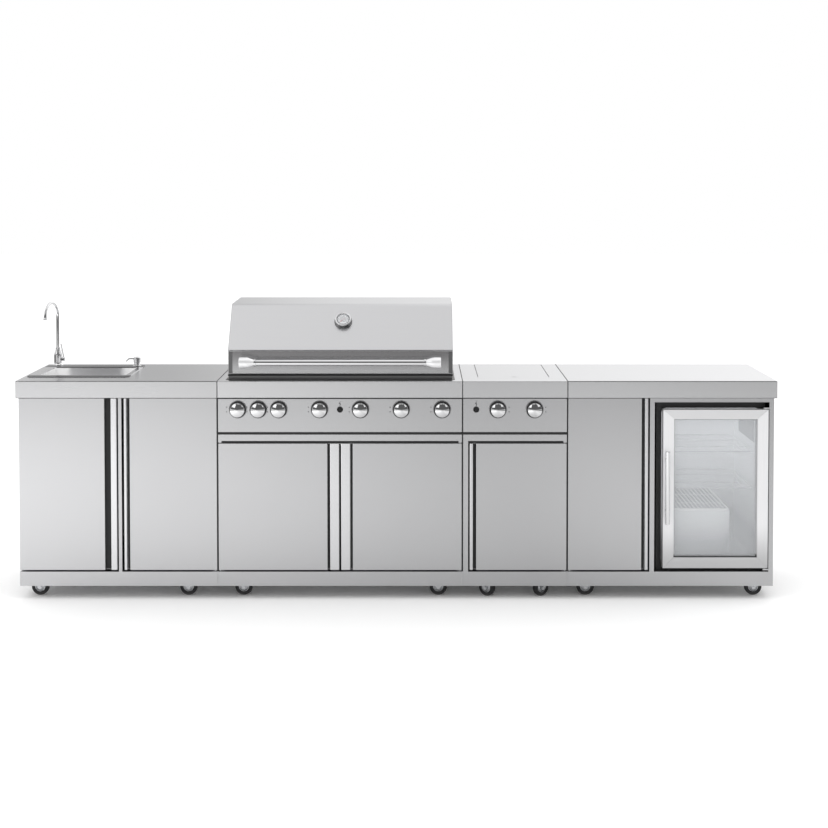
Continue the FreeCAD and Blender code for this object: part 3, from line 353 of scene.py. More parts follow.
class Finish:
    """A material or world under construction: node adds one node, and surface ends a material."""

    def __init__(self, name, owner=None, place="Object"):
        self.material = owner or bpy.data.materials.new(name)
        self.material.use_nodes = True
        self.tree = self.material.node_tree
        self.tree.nodes.clear()
        self.place = self.node("ShaderNodeTexCoord", output=place)

    def node(self, kind, settings=None, values=None, output=0):
        """Adds a node. Its settings are set first, then its sockets get numbers, colours or wires."""
        made = self.tree.nodes.new(kind)
        for key, value in (settings or {}).items():
            if key == "stops":
                set_stops(made.color_ramp, value)
            else:
                setattr(made, key, value)
        for key, value in (values or {}).items():
            if isinstance(value, Wire):
                self.tree.links.new(value.socket, made.inputs[key])
            else:
                made.inputs[key].default_value = value
        return None if output is None else Wire(self, made.outputs[output])

    def axes(self):
        """The three coordinates as wires."""
        return [self.node("ShaderNodeSeparateXYZ", None, {0: self.place}, n) for n in range(3)]

    def noise(self, stretch, detail=3.0, roughness=0.5):
        """Noise over the coordinates, stretched by one factor or by one for each axis."""
        stretch = (stretch,) * 3 if isinstance(stretch, float) else stretch
        spot = self.node("ShaderNodeMapping", None, {"Vector": self.place, "Scale": stretch})
        return self.node("ShaderNodeTexNoise", None, {
            "Vector": spot, "Scale": 1.0, "Detail": detail, "Roughness": roughness})

    def scratches(self, grain, across=500.0, detail=3.0, roughness=0.6):
        """Noise drawn out along the grain's axis and fine across it."""
        return self.noise(tuple(8.0 if axis == grain else across for axis in "xyz"), detail, roughness)

    def mix(self, share, first, second):
        """A mix of two colours."""
        return self.node("ShaderNodeMix", {"data_type": "RGBA"}, {0: share, 6: first, 7: second}, 2)

    def times(self, first, second):
        """Two colours multiplied."""
        settings = {"data_type": "RGBA", "blend_type": "MULTIPLY"}
        return self.node("ShaderNodeMix", settings, {0: 1.0, 6: first, 7: second}, 2)

    def shade(self, colour, share, depth):
        """A colour made lighter and darker round its own value, by a share that runs from 0 to 1."""
        darker = tuple(c * (1 - depth) for c in colour[:3]) + (1.0,)
        lighter = tuple(min(c * (1 + depth), 1.0) for c in colour[:3]) + (1.0,)
        return self.mix(share, darker, lighter)

    def bump(self, height, depth):
        """The surface normal over a height, depth in metres."""
        return self.node("ShaderNodeBump", None, {"Height": height, "Distance": depth, "Strength": 1.0})

    def surface(self, values):
        """Ends the material with one principled shader and returns it."""
        shader = self.node("ShaderNodeBsdfPrincipled", None, values)
        return self.ended(shader, "ShaderNodeOutputMaterial")

    def metal(self, colour, scratches, gloss, metallic=1.0):
        """Ends a brushed metal, whose scratches roughen and lift it a little."""
        return self.surface({
            "Base Color": colour, "Metallic": metallic, "Roughness": scratches * 0.1 + gloss,
            "Normal": self.bump(scratches, 0.00002)})

    def ended(self, shader, kind):
        """Joins the last shader to the output."""
        self.node(kind, None, {"Surface": shader}, None)
        return self.material

    def ray(self, *kinds):
        """One where the ray is of any of the kinds, such as Camera, else zero."""
        found = [self.node("ShaderNodeLightPath", output=f"Is {kind} Ray") for kind in kinds]
        total = found[0]
        for other in found[1:]:
            total = total.maths("MAXIMUM", total, other)
        return total

    def ramp(self, value, *stops):
        """A grey that follows (position, brightness) stops."""
        stops = [(position, (bright, bright, bright, 1.0)) for position, bright in stops]
        return self.node("ShaderNodeValToRGB", {"stops": stops}, {"Fac": value})


def set_stops(ramp, stops):
    """Fills a colour ramp with (position, colour) pairs."""
    while len(ramp.elements) < len(stops):
        ramp.elements.new(1.0)
    for element, (position, colour) in zip(ramp.elements, stops):
        element.position = position
        element.color = colour


def opaque(colour):
    """A colour with its alpha at one."""
    return tuple(colour[:3]) + (1.0,)


# Finishes

def brushed(name, tone=1.0, grain="x", roughness=None):
    """Brushed stainless steel: long fine scratches along one axis that lift and lower the gloss,
    faint bands across them, and wide soft patches where the sheet was wiped."""
    look = bpy.context.scene.island_steel
    finish = Finish(name)
    stretch = tuple(1 / (look.grain_length if axis == grain else look.grain_width) for axis in "xyz")
    wide = tuple(0.25 * s if axis == grain else 0.12 * s for axis, s in zip("xyz", stretch))
    scratches = finish.noise(stretch, 4.0, 0.7)
    bands = finish.noise(wide, 2.0)
    patches = finish.noise(1.6, 2.0)
    base = [c * tone for c in look.colour]
    streak = scratches * 0.55 + bands * 0.45
    streaked = finish.shade(base, streak, look.streaks)
    patched = finish.shade(base, patches, look.streaks)
    gloss = look.roughness if roughness is None else roughness
    spread = (streak - 0.5) * look.gloss_spread + (patches - 0.5) * look.gloss_spread * 0.6 + gloss
    return finish.surface({
        "Base Color": finish.mix(0.35, streaked, patched), "Metallic": 1.0, "Roughness": spread,
        "Normal": finish.bump(scratches, look.grain_depth)})


def band_steel(name):
    """The hood's band: brushed along the run, with painted shade under the lip and painted light at its
    foot.
    """
    finish = Finish(name)
    scratches = finish.scratches("x", 600.0, 4.0, 0.7)
    # clean is the share of painted light at the foot; the darker tone above it is painted shade under the
    # lip
    clean = 1 - finish.axes()[2].between(0.955, 1.058)
    tone = finish.mix(clean, (0.29, 0.285, 0.29, 1), (0.64, 0.64, 0.65, 1))
    return finish.metal(finish.mix(scratches * 0.12, tone, (0.5, 0.5, 0.5, 1)), scratches, 0.2)


def rim_steel(name):
    """The sink's rim: bright at its ends, with a painted dark reflection along the front and on the ledge.
    """
    finish = Finish(name)
    scratches = finish.scratches("x", 600.0, 4.0, 0.7)
    front, rear = BOWL[1]
    y = finish.axes()[1]
    # ledge and dark mark the front strip and the ledge, which get a painted dark reflection
    ledge = y.between(rear - 0.003, rear) * (1 - y.between(0.255, 0.258))
    dark = 1 - y.between(front - 0.001, front + 0.003) * (1 - ledge)
    tone = finish.mix(dark, (0.74, 0.74, 0.75, 1), (0.13, 0.13, 0.134, 1))
    return finish.metal(finish.mix(scratches * 0.06, tone, (0.6, 0.6, 0.6, 1)), scratches, 0.2)


def bowl_steel(name):
    """The bowl's satin steel, whiter towards its two ends as a painted highlight where the corners gather
    light.
    """
    finish = Finish(name)
    scratches = finish.scratches("x")
    left, right = BOWL[0]
    x = finish.axes()[0]
    # end is the share of the painted highlight towards each end
    end = x.between(right - 0.093, right - 0.040) - x.between(left + 0.047, left + 0.082) + 1
    tone = finish.mix(end, (0.62, 0.62, 0.63, 1), (0.99, 0.99, 0.99, 1))
    colour = finish.mix(scratches * 0.06, tone, (0.6, 0.6, 0.6, 1))
    return finish.metal(colour, scratches, 0.29, 0.74 - end * 0.56)


def flare_metal(name):
    """The pale satin metal of the handle's flared ends."""
    finish = Finish(name)
    scratches = finish.scratches("x")
    cloud = finish.noise(5.0, 2.0)
    colour = finish.shade((0.90, 0.90, 0.91), scratches * 0.5 + cloud * 0.5, 0.05)
    return finish.metal(colour, scratches, 0.12, 0.45)


def door_metal(name, grain, head):
    """The glass door's satin frame, with painted shade near the floor, where it faces no lamp. head is the
    tone of what lies above the glass, a painted shade under the worktop."""
    finish = Finish(name)
    scratches = finish.scratches(grain)
    z = finish.axes()[2]
    # tone is painted shade: darker towards the floor, and darker by head under the worktop
    tone = z.between(0.13, 0.34) * 0.42 - z.between(0.77, 0.78) * (1 - head) + 0.58
    pale = finish.shade((0.86, 0.86, 0.87), scratches, 0.05)
    return finish.metal(finish.mix(1 - tone, pale, BLACK), scratches, 0.3, 0.4)


def door_seal(name):
    """The strip round the door's pane: grey, and black along its foot as painted shade."""
    finish = Finish(name)
    dust = finish.noise(60.0, 2.0)
    # upper keeps the strip grey above its foot, where the black is painted shade
    upper = finish.axes()[2].between(0.185, 0.20)
    colour = finish.mix(upper, (0.02, 0.02, 0.021, 1), (0.42, 0.42, 0.43, 1))
    return finish.surface({"Base Color": colour, "Roughness": dust * 0.1 + 0.45})


def chrome(name, tone=1.0, roughness=None):
    """Polished chrome with a faint haze of wiping marks in its gloss."""
    look = bpy.context.scene.island_chrome
    finish = Finish(name)
    haze = finish.noise(40.0, 4.0)
    gloss = look.roughness if roughness is None else roughness
    return finish.surface({
        "Base Color": finish.shade([c * tone for c in look.colour], haze, 0.02), "Metallic": 1.0,
        "Roughness": haze * look.haze + gloss})


def cast_iron(name):
    """Matt black enamel on cast iron, with a pebbled skin and a little rust brown in its lows."""
    finish = Finish(name)
    pebbles = finish.noise(260.0)
    stains = finish.noise(9.0, 4.0)
    colour = finish.mix(stains.between(0.5, 0.75), (0.018, 0.018, 0.019, 1), (0.05, 0.036, 0.028, 1))
    return finish.surface({
        "Base Color": colour, "Roughness": pebbles * 0.2 + 0.5, "Normal": finish.bump(pebbles, 0.0006)})


def burnt_steel(name):
    """Stainless steel darkened by heat, straw and grey-brown in soft clouds."""
    finish = Finish(name)
    clouds = finish.noise(5.0, 5.0)
    grain = finish.noise((30.0, 900.0, 900.0), 2.0)
    colour = finish.mix(clouds.between(0.35, 0.7), (0.30, 0.295, 0.29, 1), (0.16, 0.145, 0.135, 1))
    return finish.surface({
        "Base Color": colour, "Metallic": 1.0, "Roughness": clouds * 0.2 + 0.36,
        "Normal": finish.bump(grain, 0.0001)})


def rubber(name):
    """Black caster rubber, dusty where it meets the floor."""
    finish = Finish(name)
    dust = finish.noise(60.0, 4.0)
    low = 1 - finish.axes()[2].between(0.0, 0.02)
    colour = finish.mix(low * dust * 0.8, (0.016, 0.016, 0.018, 1), (0.12, 0.115, 0.11, 1))
    return finish.surface({
        "Base Color": colour, "Roughness": dust * 0.25 + 0.42, "Normal": finish.bump(dust, 0.0003)})


def zinc(name):
    """Bright zinc plate with fine spangle and duller patches."""
    finish = Finish(name)
    cells = {"Vector": finish.place, "Scale": 420.0}
    spangle = finish.node("ShaderNodeTexVoronoi", None, cells, "Distance")
    patches = finish.noise(24.0)
    return finish.surface({
        "Base Color": finish.shade((0.70, 0.71, 0.73), patches * 0.6 + spangle * 0.4, 0.10),
        "Metallic": 1.0, "Roughness": patches * 0.22 + 0.16, "Normal": finish.bump(spangle, 0.0001)})


def black_paint(name, tone=0.012):
    """Satin black paint or moulded seal with a fine orange-peel skin."""
    finish = Finish(name)
    peel = finish.noise(180.0, 2.0)
    return finish.surface({
        "Base Color": finish.shade((tone, tone, tone * 1.05), peel, 0.25),
        "Roughness": peel * 0.2 + 0.35, "Normal": finish.bump(peel, 0.0002)})


def liner(name):
    """Pale moulded refrigerator lining with a faint painted glow, painted light at the top, and painted
    shade low down and at the right."""
    finish = Finish(name)
    x, _, z = finish.axes()
    cloud = finish.noise(3.0, 2.0)
    skin = finish.noise(300.0, 2.0)
    # floor and fade are painted shade on the lining's floor, low down and at the right
    floor = (1 - z.between(0.20, 0.33)) * 0.34
    fade = (1 - z.between(0.16, 0.62)) * (x.between(1.38, 1.46) * 0.30 + 0.62) + floor
    colour = finish.mix(fade, finish.shade((0.84, 0.85, 0.87), cloud, 0.05), (0.15, 0.155, 0.165, 1))
    # The emission is a painted glow; the lining is no lamp
    return finish.surface({
        "Base Color": colour, "Roughness": skin * 0.15 + 0.38, "Emission Color": colour,
        "Emission Strength": 0.16, "Normal": finish.bump(skin, 0.0001)})


def tray_metal(name):
    """Galvanised drip tray, mottled and a little greasy."""
    finish = Finish(name)
    mottle = finish.node("ShaderNodeTexVoronoi", None, {"Vector": finish.place, "Scale": 60.0}, "Color")
    grease = finish.noise(7.0, 4.0)
    colour = finish.mix(grease.between(0.55, 0.75), (0.46, 0.47, 0.48, 1), (0.30, 0.27, 0.22, 1))
    return finish.surface({
        "Base Color": finish.mix(0.08, colour, mottle), "Metallic": 1.0, "Roughness": grease * 0.3 + 0.28})


def glazing(name, colour=(0.80, 0.82, 0.84), alpha=0.16):
    """Toned door glass with faint wiping marks, seen through by its alpha."""
    finish = Finish(name)
    wipe = finish.noise((2.0, 2.0, 5.0))
    return finish.surface({
        "Base Color": finish.shade(colour, wipe, 0.04), "Roughness": wipe * 0.04 + 0.03,
        "Alpha": alpha, "Specular IOR Level": 0.75})


def enamel(name, colour, roughness=0.35):
    """A plain printed or enamelled surface with a little unevenness."""
    finish = Finish(name)
    uneven = finish.noise(120.0, 2.0)
    return finish.surface({
        "Base Color": finish.shade(colour, uneven, 0.04), "Roughness": uneven * 0.1 + roughness})


class Palette(dict):
    """The finishes by name, each made the first time that it is asked for."""

    MAKERS = {
        "steel": (brushed, "steel_along"),
        "steel_deep": (brushed, "steel_across", 1.0, "y"),
        "steel_bright": (brushed, "steel_bright", 1.25, "z", 0.22),
        "steel_top": (brushed, "steel_top", 1.2, "x", 0.24),
        "steel_lid": (brushed, "steel_lid", 1.2, "x", 0.3),
        # A darker copy of the steel, used as painted shade
        "steel_dark": (brushed, "steel_dark", 0.3, "z", 0.3),
        "steel_sink": (brushed, "steel_sink", 1.12, "x", 0.26),
        "steel_band": (band_steel, "steel_band"),
        "steel_rim": (rim_steel, "steel_rim"),
        "bowl": (bowl_steel, "satin_bowl"),
        "flare": (flare_metal, "satin_flare"),
        "door_stile": (door_metal, "door_stile_satin", "z", 1.0),
        "door_rail": (door_metal, "door_rail_satin", "x", 0.83),
        "door_seal": (door_seal, "door_seal"),
        "chrome": (chrome, "chrome"),
        # A darker copy of the chrome, used as a painted dark reflection
        "dark_chrome": (chrome, "dark_chrome", 0.28, 0.14),
        "iron": (cast_iron, "cast_iron"),
        "burnt": (burnt_steel, "burnt_steel"),
        "rubber": (rubber, "caster_rubber"),
        "zinc": (zinc, "zinc_plate"),
        "tray": (tray_metal, "galvanised_tray"),
        "black": (black_paint, "black_satin"),
        "case": (black_paint, "refrigerator_case", 0.02),
        "liner": (liner, "refrigerator_lining"),
        "glass": (glazing, "door_glass"),
        "lens": (glazing, "dial_lens", (0.9, 0.92, 0.95), 0.12),
        "coat": (enamel, "white_coat", (0.92, 0.92, 0.93), 0.3),
        "vent": (enamel, "vent_grey", (0.36, 0.37, 0.38), 0.5),
        "dial": (enamel, "dial_face", (0.40, 0.40, 0.40)),
        "ink": (enamel, "dial_ink", (0.02, 0.02, 0.022)),
        "red": (enamel, "needle_red", (0.45, 0.02, 0.015)),
    }

    def __missing__(self, name):
        maker, *values = self.MAKERS[name]
        self[name] = maker(*values)
        return self[name]


PALETTE = Palette()


# Sizes and colours that a user may change

def length(name, description, default, smallest=0.0001):
    """A size in metres."""
    return FloatProperty(
        name=name, description=description, default=default, min=smallest, unit="LENGTH", precision=4)


def share(name, description, default, largest=1.0):
    """A plain number from zero up."""
    return FloatProperty(
        name=name, description=description, default=default, min=0.0, max=largest, precision=3)


def angle(name, description, degrees):
    """An angle."""
    return FloatProperty(name=name, description=description, subtype="ANGLE", default=math.radians(degrees))


def point(name, description, default):
    """A place in metres."""
    return FloatVectorProperty(name=name, description=description, subtype="TRANSLATION", default=default)


def colour(name, description, default):
    """A colour in linear light."""
    return FloatVectorProperty(
        name=name, description=description, subtype="COLOR", size=3, default=default, min=0.0, max=1.0)


class SteelSettings(PropertyGroup):
    """The brushed sheet."""

    colour: colour("Sheet colour", "Colour of the brushed stainless sheet", (0.65, 0.65, 0.66))
    roughness: share("Gloss", "Roughness of the sheet", 0.25)
    gloss_spread: share("Gloss spread", "How far scratches and wiped patches change the roughness", 0.08)
    streaks: share("Streaks", "How far the colour varies along the grain", 0.03)
    grain_length: length("Grain length", "Length of one scratch", 0.12)
    grain_width: length("Grain width", "Width of one scratch", 0.0016)
    grain_depth: length("Grain depth", "Depth of the scratches", 0.00002, 0.0)


class ChromeSettings(PropertyGroup):
    """The polished fittings."""

    colour: colour("Chrome colour", "Colour of the polished chrome", (0.93, 0.93, 0.94))
    roughness: share("Gloss", "Roughness of clean chrome", 0.03)
    haze: share("Haze", "Roughness that wiping marks add", 0.07)


class DoorSettings(PropertyGroup):
    """The folded doors."""

    fold: length("Fold radius", "Outside radius of the panel's folds", 0.0025)
    bar_fold: length("Bar radius", "Radius of the bar's front edges", 0.0045)
    rim: length("Rim radius", "Rounding of the top and bottom rims", 0.001)
    recess: length("Recess depth", "Depth of the finger recess beside the bar", 0.016)


class LidSettings(PropertyGroup):
    """The grill's hood and its handle."""

    bend: length("Bend radius", "Radius of the bend between the front and the top", 0.014)
    lip: length("Lip radius", "Radius of the fold above the band", 0.003)
    # The end strips are painted shade, in a darker copy of the steel
    end_strip: length("End strip", "Width of the darker strip at each end of the band", 0.018)
    handle_radius: length("Handle radius", "Radius of the tube", 0.0135)
    flare_radius: length("Flare radius", "Radius of the flared ends", 0.023)


class ControlSettings(PropertyGroup):
    """Knobs, bezels and igniters."""

    knob_radius: length("Knob radius", "Radius of a knob's grip", 0.0315)
    face_radius: length("Face radius", "Radius of a knob's crowned face", 0.0288)
    crown: length("Crown", "How far a knob's face stands out in the middle", 0.009)
    bezel_radius: length("Bezel radius", "Outside radius of the ring behind a knob", 0.0388)
    button_radius: length("Button radius", "Radius of an igniter button", 0.0075)


class TapSettings(PropertyGroup):
    """The tap and the soap dispenser on the sink's ledge."""

    tap: point("Tap", "Foot of the tap", (-1.558, 0.255, 0.938))
    spout_turn: angle("Spout turn", "Turn of the spout to the left of straight ahead", 12)
    arch: length("Arch radius", "Radius of the swan neck", 0.065)
    tube: length("Tube radius", "Radius of the swan neck's tube", 0.0065)
    soap: point("Soap", "Foot of the dispenser", (-1.192, 0.235, 0.938))


class SinkSettings(PropertyGroup):
    """The bowl and its rim."""

    rim_corner: length("Rim corner", "Corner radius of the rim", 0.025)
    bowl_corner: length("Bowl corner", "Corner radius of the bowl", 0.012)
    foot: length("Foot radius", "Radius between the walls and the floor", 0.012)
    sheet: length("Sheet", "Thickness of the bowl", 0.0012)
    ledge: length("Ledge", "Height of the rim above the worktop", 0.003)


class CasterSettings(PropertyGroup):
    """The wheels."""

    radius: length("Wheel radius", "Radius over the tyre", 0.0375)
    width: length("Wheel width", "Width of the tyre", 0.024)
    hub: length("Hub radius", "Radius of the metal hub", 0.0215)
    rear_line: length("Rear line", "Y of the rear wheels", 0.235)


class GlassDoorSettings(PropertyGroup):
    """The refrigerator's door and racks."""

    side: length("Side rail", "Width of the upright rails", 0.046)
    foot: length("Foot rail", "Width of the lower rail", 0.046)
    head: length("Head rail", "Width of the upper rail", 0.039)
    rim: length("Rim radius", "Rounding of the rails' edges", 0.0012)
    bar: length("Bar radius", "Radius of the handle bar", 0.009)
    wire: length("Wire radius", "Radius of the racks' wires", 0.0018)


class StageSettings(PropertyGroup):
    """The studio and the camera."""

    camera: point("Camera", "Place of the camera", (0.091, -6.908, 1.793))
    tilt: angle("Tilt", "How far the camera looks down", 2)
    lens: FloatProperty(
        name="Lens", description="Focal length for a 36 mm sensor", default=68.19, unit="CAMERA")
    shift_x: FloatProperty(name="Shift across", description="Lens shift to the side", default=-0.0046)
    shift_y: FloatProperty(name="Shift up", description="Lens shift upwards", default=-0.2182)
    floor: colour("Floor colour", "Colour of the studio floor", (0.995, 0.995, 0.995))
    glow: share("Floor glow", "Light of the floor to the eye and to metal", 0.03, 2.0)
    sky: share("Sky", "Light that matt surfaces get from the walls and ceiling", 1.19, 5.0)
    wall: share("Walls", "Brightness of the walls in metal", 0.95, 5.0)
    room: share("Room", "Brightness in metal of the room behind the camera", 0.10, 5.0)
    key: FloatProperty(name="Lamp", description="Power of the softbox", default=40.0, min=0.0, unit="POWER")


SETTINGS = {
    "island_steel": SteelSettings,
    "island_chrome": ChromeSettings,
    "island_doors": DoorSettings,
    "island_lid": LidSettings,
    "island_controls": ControlSettings,
    "island_taps": TapSettings,
    "island_sink": SinkSettings,
    "island_casters": CasterSettings,
    "island_glass_door": GlassDoorSettings,
    "island_stage": StageSettings,
}


# Pieces

class ISLAND_OT_cabinets(Operator):
    """Gives the cabinets, worktops and inner parts their finishes, and seals the joints between units"""

    bl_idname = "island.cabinets"
    bl_label = "Cabinets and worktops"
    bl_options = UNDOABLE

    # The finish of each node that keeps its own shape, apart from the cabinets and the forks
    FINISHES = {
        "sink_worktop": "steel_sink", "grill_worktop": "steel_top", "burner_worktop": "steel_top",
        "fridge_worktop": "steel_top", "control_panels": "steel", "firebox": "burnt",
        "gas_burners": "burnt", "cooking_grates": "iron", "drip_tray": "tray",
    }

    def execute(self, context):
        """Finishes first, then the seals and the hood's skirt, both with painted shade."""
        for node, finish in self.FINISHES.items():
            dress(node, finish)
        for unit in UNITS:
            dress(f"{unit}_cabinet", "steel")
        for number in range(1, 9):
            dress(f"front_fork_{number}", "zinc")
        self.seals()
        self.skirt()
        return {"FINISHED"}

    def seals(self):
        """Black beads in the joints between units, black strips as painted shade in the gaps round the
        panels, and a darker copy of the steel as a painted shade line on the front edge of the two outer
        worktops."""
        form = Form()
        tops = {unit: limits(f"{unit}_worktop") for unit in UNITS}
        widths = {unit: limits(f"{unit}_cabinet")[0] for unit in UNITS}
        for before, unit in zip(UNITS, UNITS[1:]):
            self.joint(form, tops[unit], grown((widths[before][1], widths[unit][0]), -0.0004))
        for unit in UNITS:
            self.gaps(form, unit, widths[unit], tops[unit])
        # A darker copy of the steel along the sink's and the refrigerator's front edges, a painted shade
        # line
        for unit, deep in (("sink", 0.0014), ("fridge", 0.0030)):
            x, y, z = tops[unit]
            edge = (y[0] - 0.0004, y[0] + 0.004)
            form.add(block(grown(x, -0.003), edge, (z[1] - deep, z[1] + 0.0003), 0.0008, 0.0003, "x"), 2)
        piece("joint_seals", form, ("black", "steel", "steel_dark"), ISLAND)

    def joint(self, form, top, gap):
        """One joint: a bead over the worktops and down their fronts, and two between the cabinets."""
        x, y, z = top
        proud, half = 0.0004, 0.0019
        front, crest = y[0] - proud, z[1] + proud
        section = bent([
            (front, z[0]), (front, crest), (y[1], crest), (y[1], crest - 0.001),
            (y[0] + 0.004, crest - 0.001), (y[0] + 0.001, crest - 0.004), (y[0] + 0.001, z[0]),
        ], (0, 0.003, 0, 0, 0, 0, 0), closed=True)
        form.add(prism(section, "x", x[0] - half, x[0] + half))
        form.add(block(gap, (FACE + 0.0005, FACE + 0.02), (PLINTH[1], z[0] - 0.0005), axis="z"))
        form.add(block(gap, (FACE + 0.0006, FACE + 0.003), grown(PLINTH, -0.0005), axis="z"), 1)

    def gaps(self, form, unit, x, top):
        """The black strips of painted shade under a worktop's front, and those above and below a unit's
        control panel.
        """
        lip, under = top[1][0], top[2][0]
        door_top = limits("store_door")[2][1]
        panelled = unit in ("grill", "burner")
        below = (under - 0.0003, under + (0.0017 if panelled else 0.0009))
        # Each black strip stands in a gap as painted shade
        form.add(block(x, (FACE - 0.0006, FACE + 0.001), (door_top + 0.0003, under - 0.0001), axis="x"))
        form.add(block(grown(top[0], -0.002), (lip - 0.0004, lip + 0.0007), below, axis="x"))
        if panelled:
            low_door_top = limits("burner_door")[2][1]
            panel_y, panel_z = limits("control_panels")[1:]
            top_edge = (panel_z[1] - (0.0029 if unit == "grill" else 0.0017), panel_z[1] + 0.0007)
            foot_gap = (RAIL[1] + 0.0003, panel_z[0] - 0.0002)
            door_gap = (low_door_top + 0.002, RAIL[0] - 0.0002)
            form.add(block(x, (panel_y[0] - 0.0004, FACE), top_edge, axis="x"))
            form.add(block(x, (FACE + 0.001, FACE + 0.018), foot_gap, axis="x"))
            form.add(block(x, (FACE + 0.004, FACE + 0.019), door_gap, axis="x"))

    def skirt(self):
        """The strip between the worktop and the hood's foot, darker steel as painted shade, with a black
        bead and two end blocks as painted shadow.
        """
        x, _, (foot, _) = limits("grill_lid")
        seat = limits("grill_worktop")[2][1]
        across, rear, wide = grown(x, -0.004), BAND_FACE - 0.0005, 0.008
        strip_y, bead_y, end_y = ((rear - deep, rear) for deep in (0.0140, 0.0147, 0.0160))
        form = Form()
        form.add(block(across, strip_y, (seat + 0.0001, foot - 0.0045), 0.002, 0.0006, "x"))
        form.add(block(across, bead_y, (foot - 0.005, foot - 0.0004), 0.001, 0.0004, "x"), 1)
        for start in (across[0] - 0.0035, across[1] - 0.0045):
            end_x = (start, start + wide)
            form.add(block(end_x, end_y, (foot - 0.007, foot - 0.0001), 0.001, 0.0004, "x"), 1)
        piece("hood_skirt", form, ("steel_dark", "black"), ISLAND)


class ISLAND_OT_doors(Operator):
    """Makes the six folded steel doors with their finger recesses and full-height bars"""

    bl_idname = "island.doors"
    bl_label = "Steel doors"
    bl_options = UNDOABLE

    # Each door: the widths of its bar and finger recess, and 1 where its free edge is at the right or
    # -1 where it is at the left
    EDGES = {
        "sink_door_left": (0.027, 0.025, 1),
        "sink_door_right": (0.013, 0.012, -1),
        "grill_door_left": (0.040, 0.010, 1),
        "grill_door_right": (0.040, 0.010, -1),
        "burner_door": (0.015, 0.013, -1),
        "store_door": (0.015, 0.013, 1),
    }

    def execute(self, context):
        """One piece for each door, made from its plan pushed upwards. The grill's doors also get a
        rubber bead where they meet."""
        look = context.scene.island_doors
        bead_y = (FACE + 0.0135, FACE + 0.0195)
        for name, (bar, recess, side) in self.EDGES.items():
            x, y, z = limits(name)
            hinge, free = x[::side]
            bar_edge = free - side * bar
            panel_edge = bar_edge - side * recess
            floor = y[0] + look.recess
            panel = bent([
                (hinge, y[1]), (hinge, y[0]), (panel_edge, y[0]),
                (panel_edge, floor), (free, floor), (free, y[1]),
            ], (look.rim, look.fold, look.fold, look.rim, look.rim, look.rim), closed=True)
            post = bent([
                (bar_edge, floor), (bar_edge, y[0]), (free, y[0]), (free, floor),
            ], (0.0, look.bar_fold, look.bar_fold, 0.0), closed=True)
            shadow = grown(sorted((panel_edge, bar_edge)), -0.0004)
            form = Form()
            form.add(prism(panel, "z", *z, look.rim))
            form.add(prism(post, "z", *grown(z, -0.0002), look.rim), 1)
            form.add(block(shadow, (floor - 0.0006, floor + 0.001), grown(z, -0.002)), 2)
            if name.startswith("grill"):
                bead = sorted((free, free + side * 0.0032))
                form.add(block(bead, bead_y, grown(z, -0.004), 0.001, 0.0005, "z"), 2)
            piece(f"{name}_skin", form, ("steel", "steel_bright", "black"), name, [name])
        return {"FINISHED"}


class ISLAND_OT_lid(Operator):
    """Makes the hood: a folded skin with soft bends, its band, its end plates and its inner lining"""

    bl_idname = "island.lid"
    bl_label = "Grill lid"
    bl_options = UNDOABLE

    def execute(self, context):
        """The side view pushed across the width, with a plate at each end and strips on the band."""
        look = context.scene.island_lid
        x, y, z = limits("grill_lid")
        bend, lip, strip, plate, band_top = look.bend, look.lip, look.end_strip, 0.002, 1.056
        skin = [
            (-0.210, z[0]), (BAND_FACE, z[0]), (BAND_FACE, band_top), SLOPE[0],
            SLOPE[1], (0.272, z[1]), (y[1], 1.234), (y[1], 0.962),
        ]
        lining = [
            (0.288, 0.987), (0.274, 0.987), (0.274, 1.219), (0.264, 1.229),
            (-0.066, 1.226), (-0.206, 1.052), (-0.206, 0.977), (-0.210, 0.977),
        ]
        outer = bent(skin, (0.0, 0.002, lip, lip, bend, bend, bend, 0.0), 8)
        inner = bent(lining, (0.0, 0.004, 0.006, 0.006, bend, 0.01, 0.004, 0.0), 5)
        side = bent(skin[1:7] + [(y[1], z[0])], (0.002, lip, lip, bend, bend, bend, 0.003), 8, closed=True)
        form = Form()
        form.add(prism(np.concatenate([outer, inner]), "x", *grown(x, -plate)))
        for edge in (x[0], x[1] - plate):
            form.add(prism(side, "x", edge, edge + plate, 0.0008), 1)
        # The band has painted shade under the lip and painted light at its foot; its end strips are painted
        # shade
        band_z, back = (z[0] + 0.004, band_top - 0.0015), BAND_FACE + 0.0008
        form.add(block(grown(x, -strip), (BAND_FACE - 0.0006, back), band_z, 0.001, 0.0004), 2)
        for edge in (x[0] + plate, x[1] - strip):
            width = (edge, edge + strip - plate)
            form.add(block(width, (BAND_FACE - 0.0004, back), band_z, 0.001, 0.0003), 3)
        finishes = ("steel_lid", "steel_deep", "steel_band", "steel_dark")
        piece("grill_lid_skin", form, finishes, "grill_lid", ["grill_lid"])
        return {"FINISHED"}


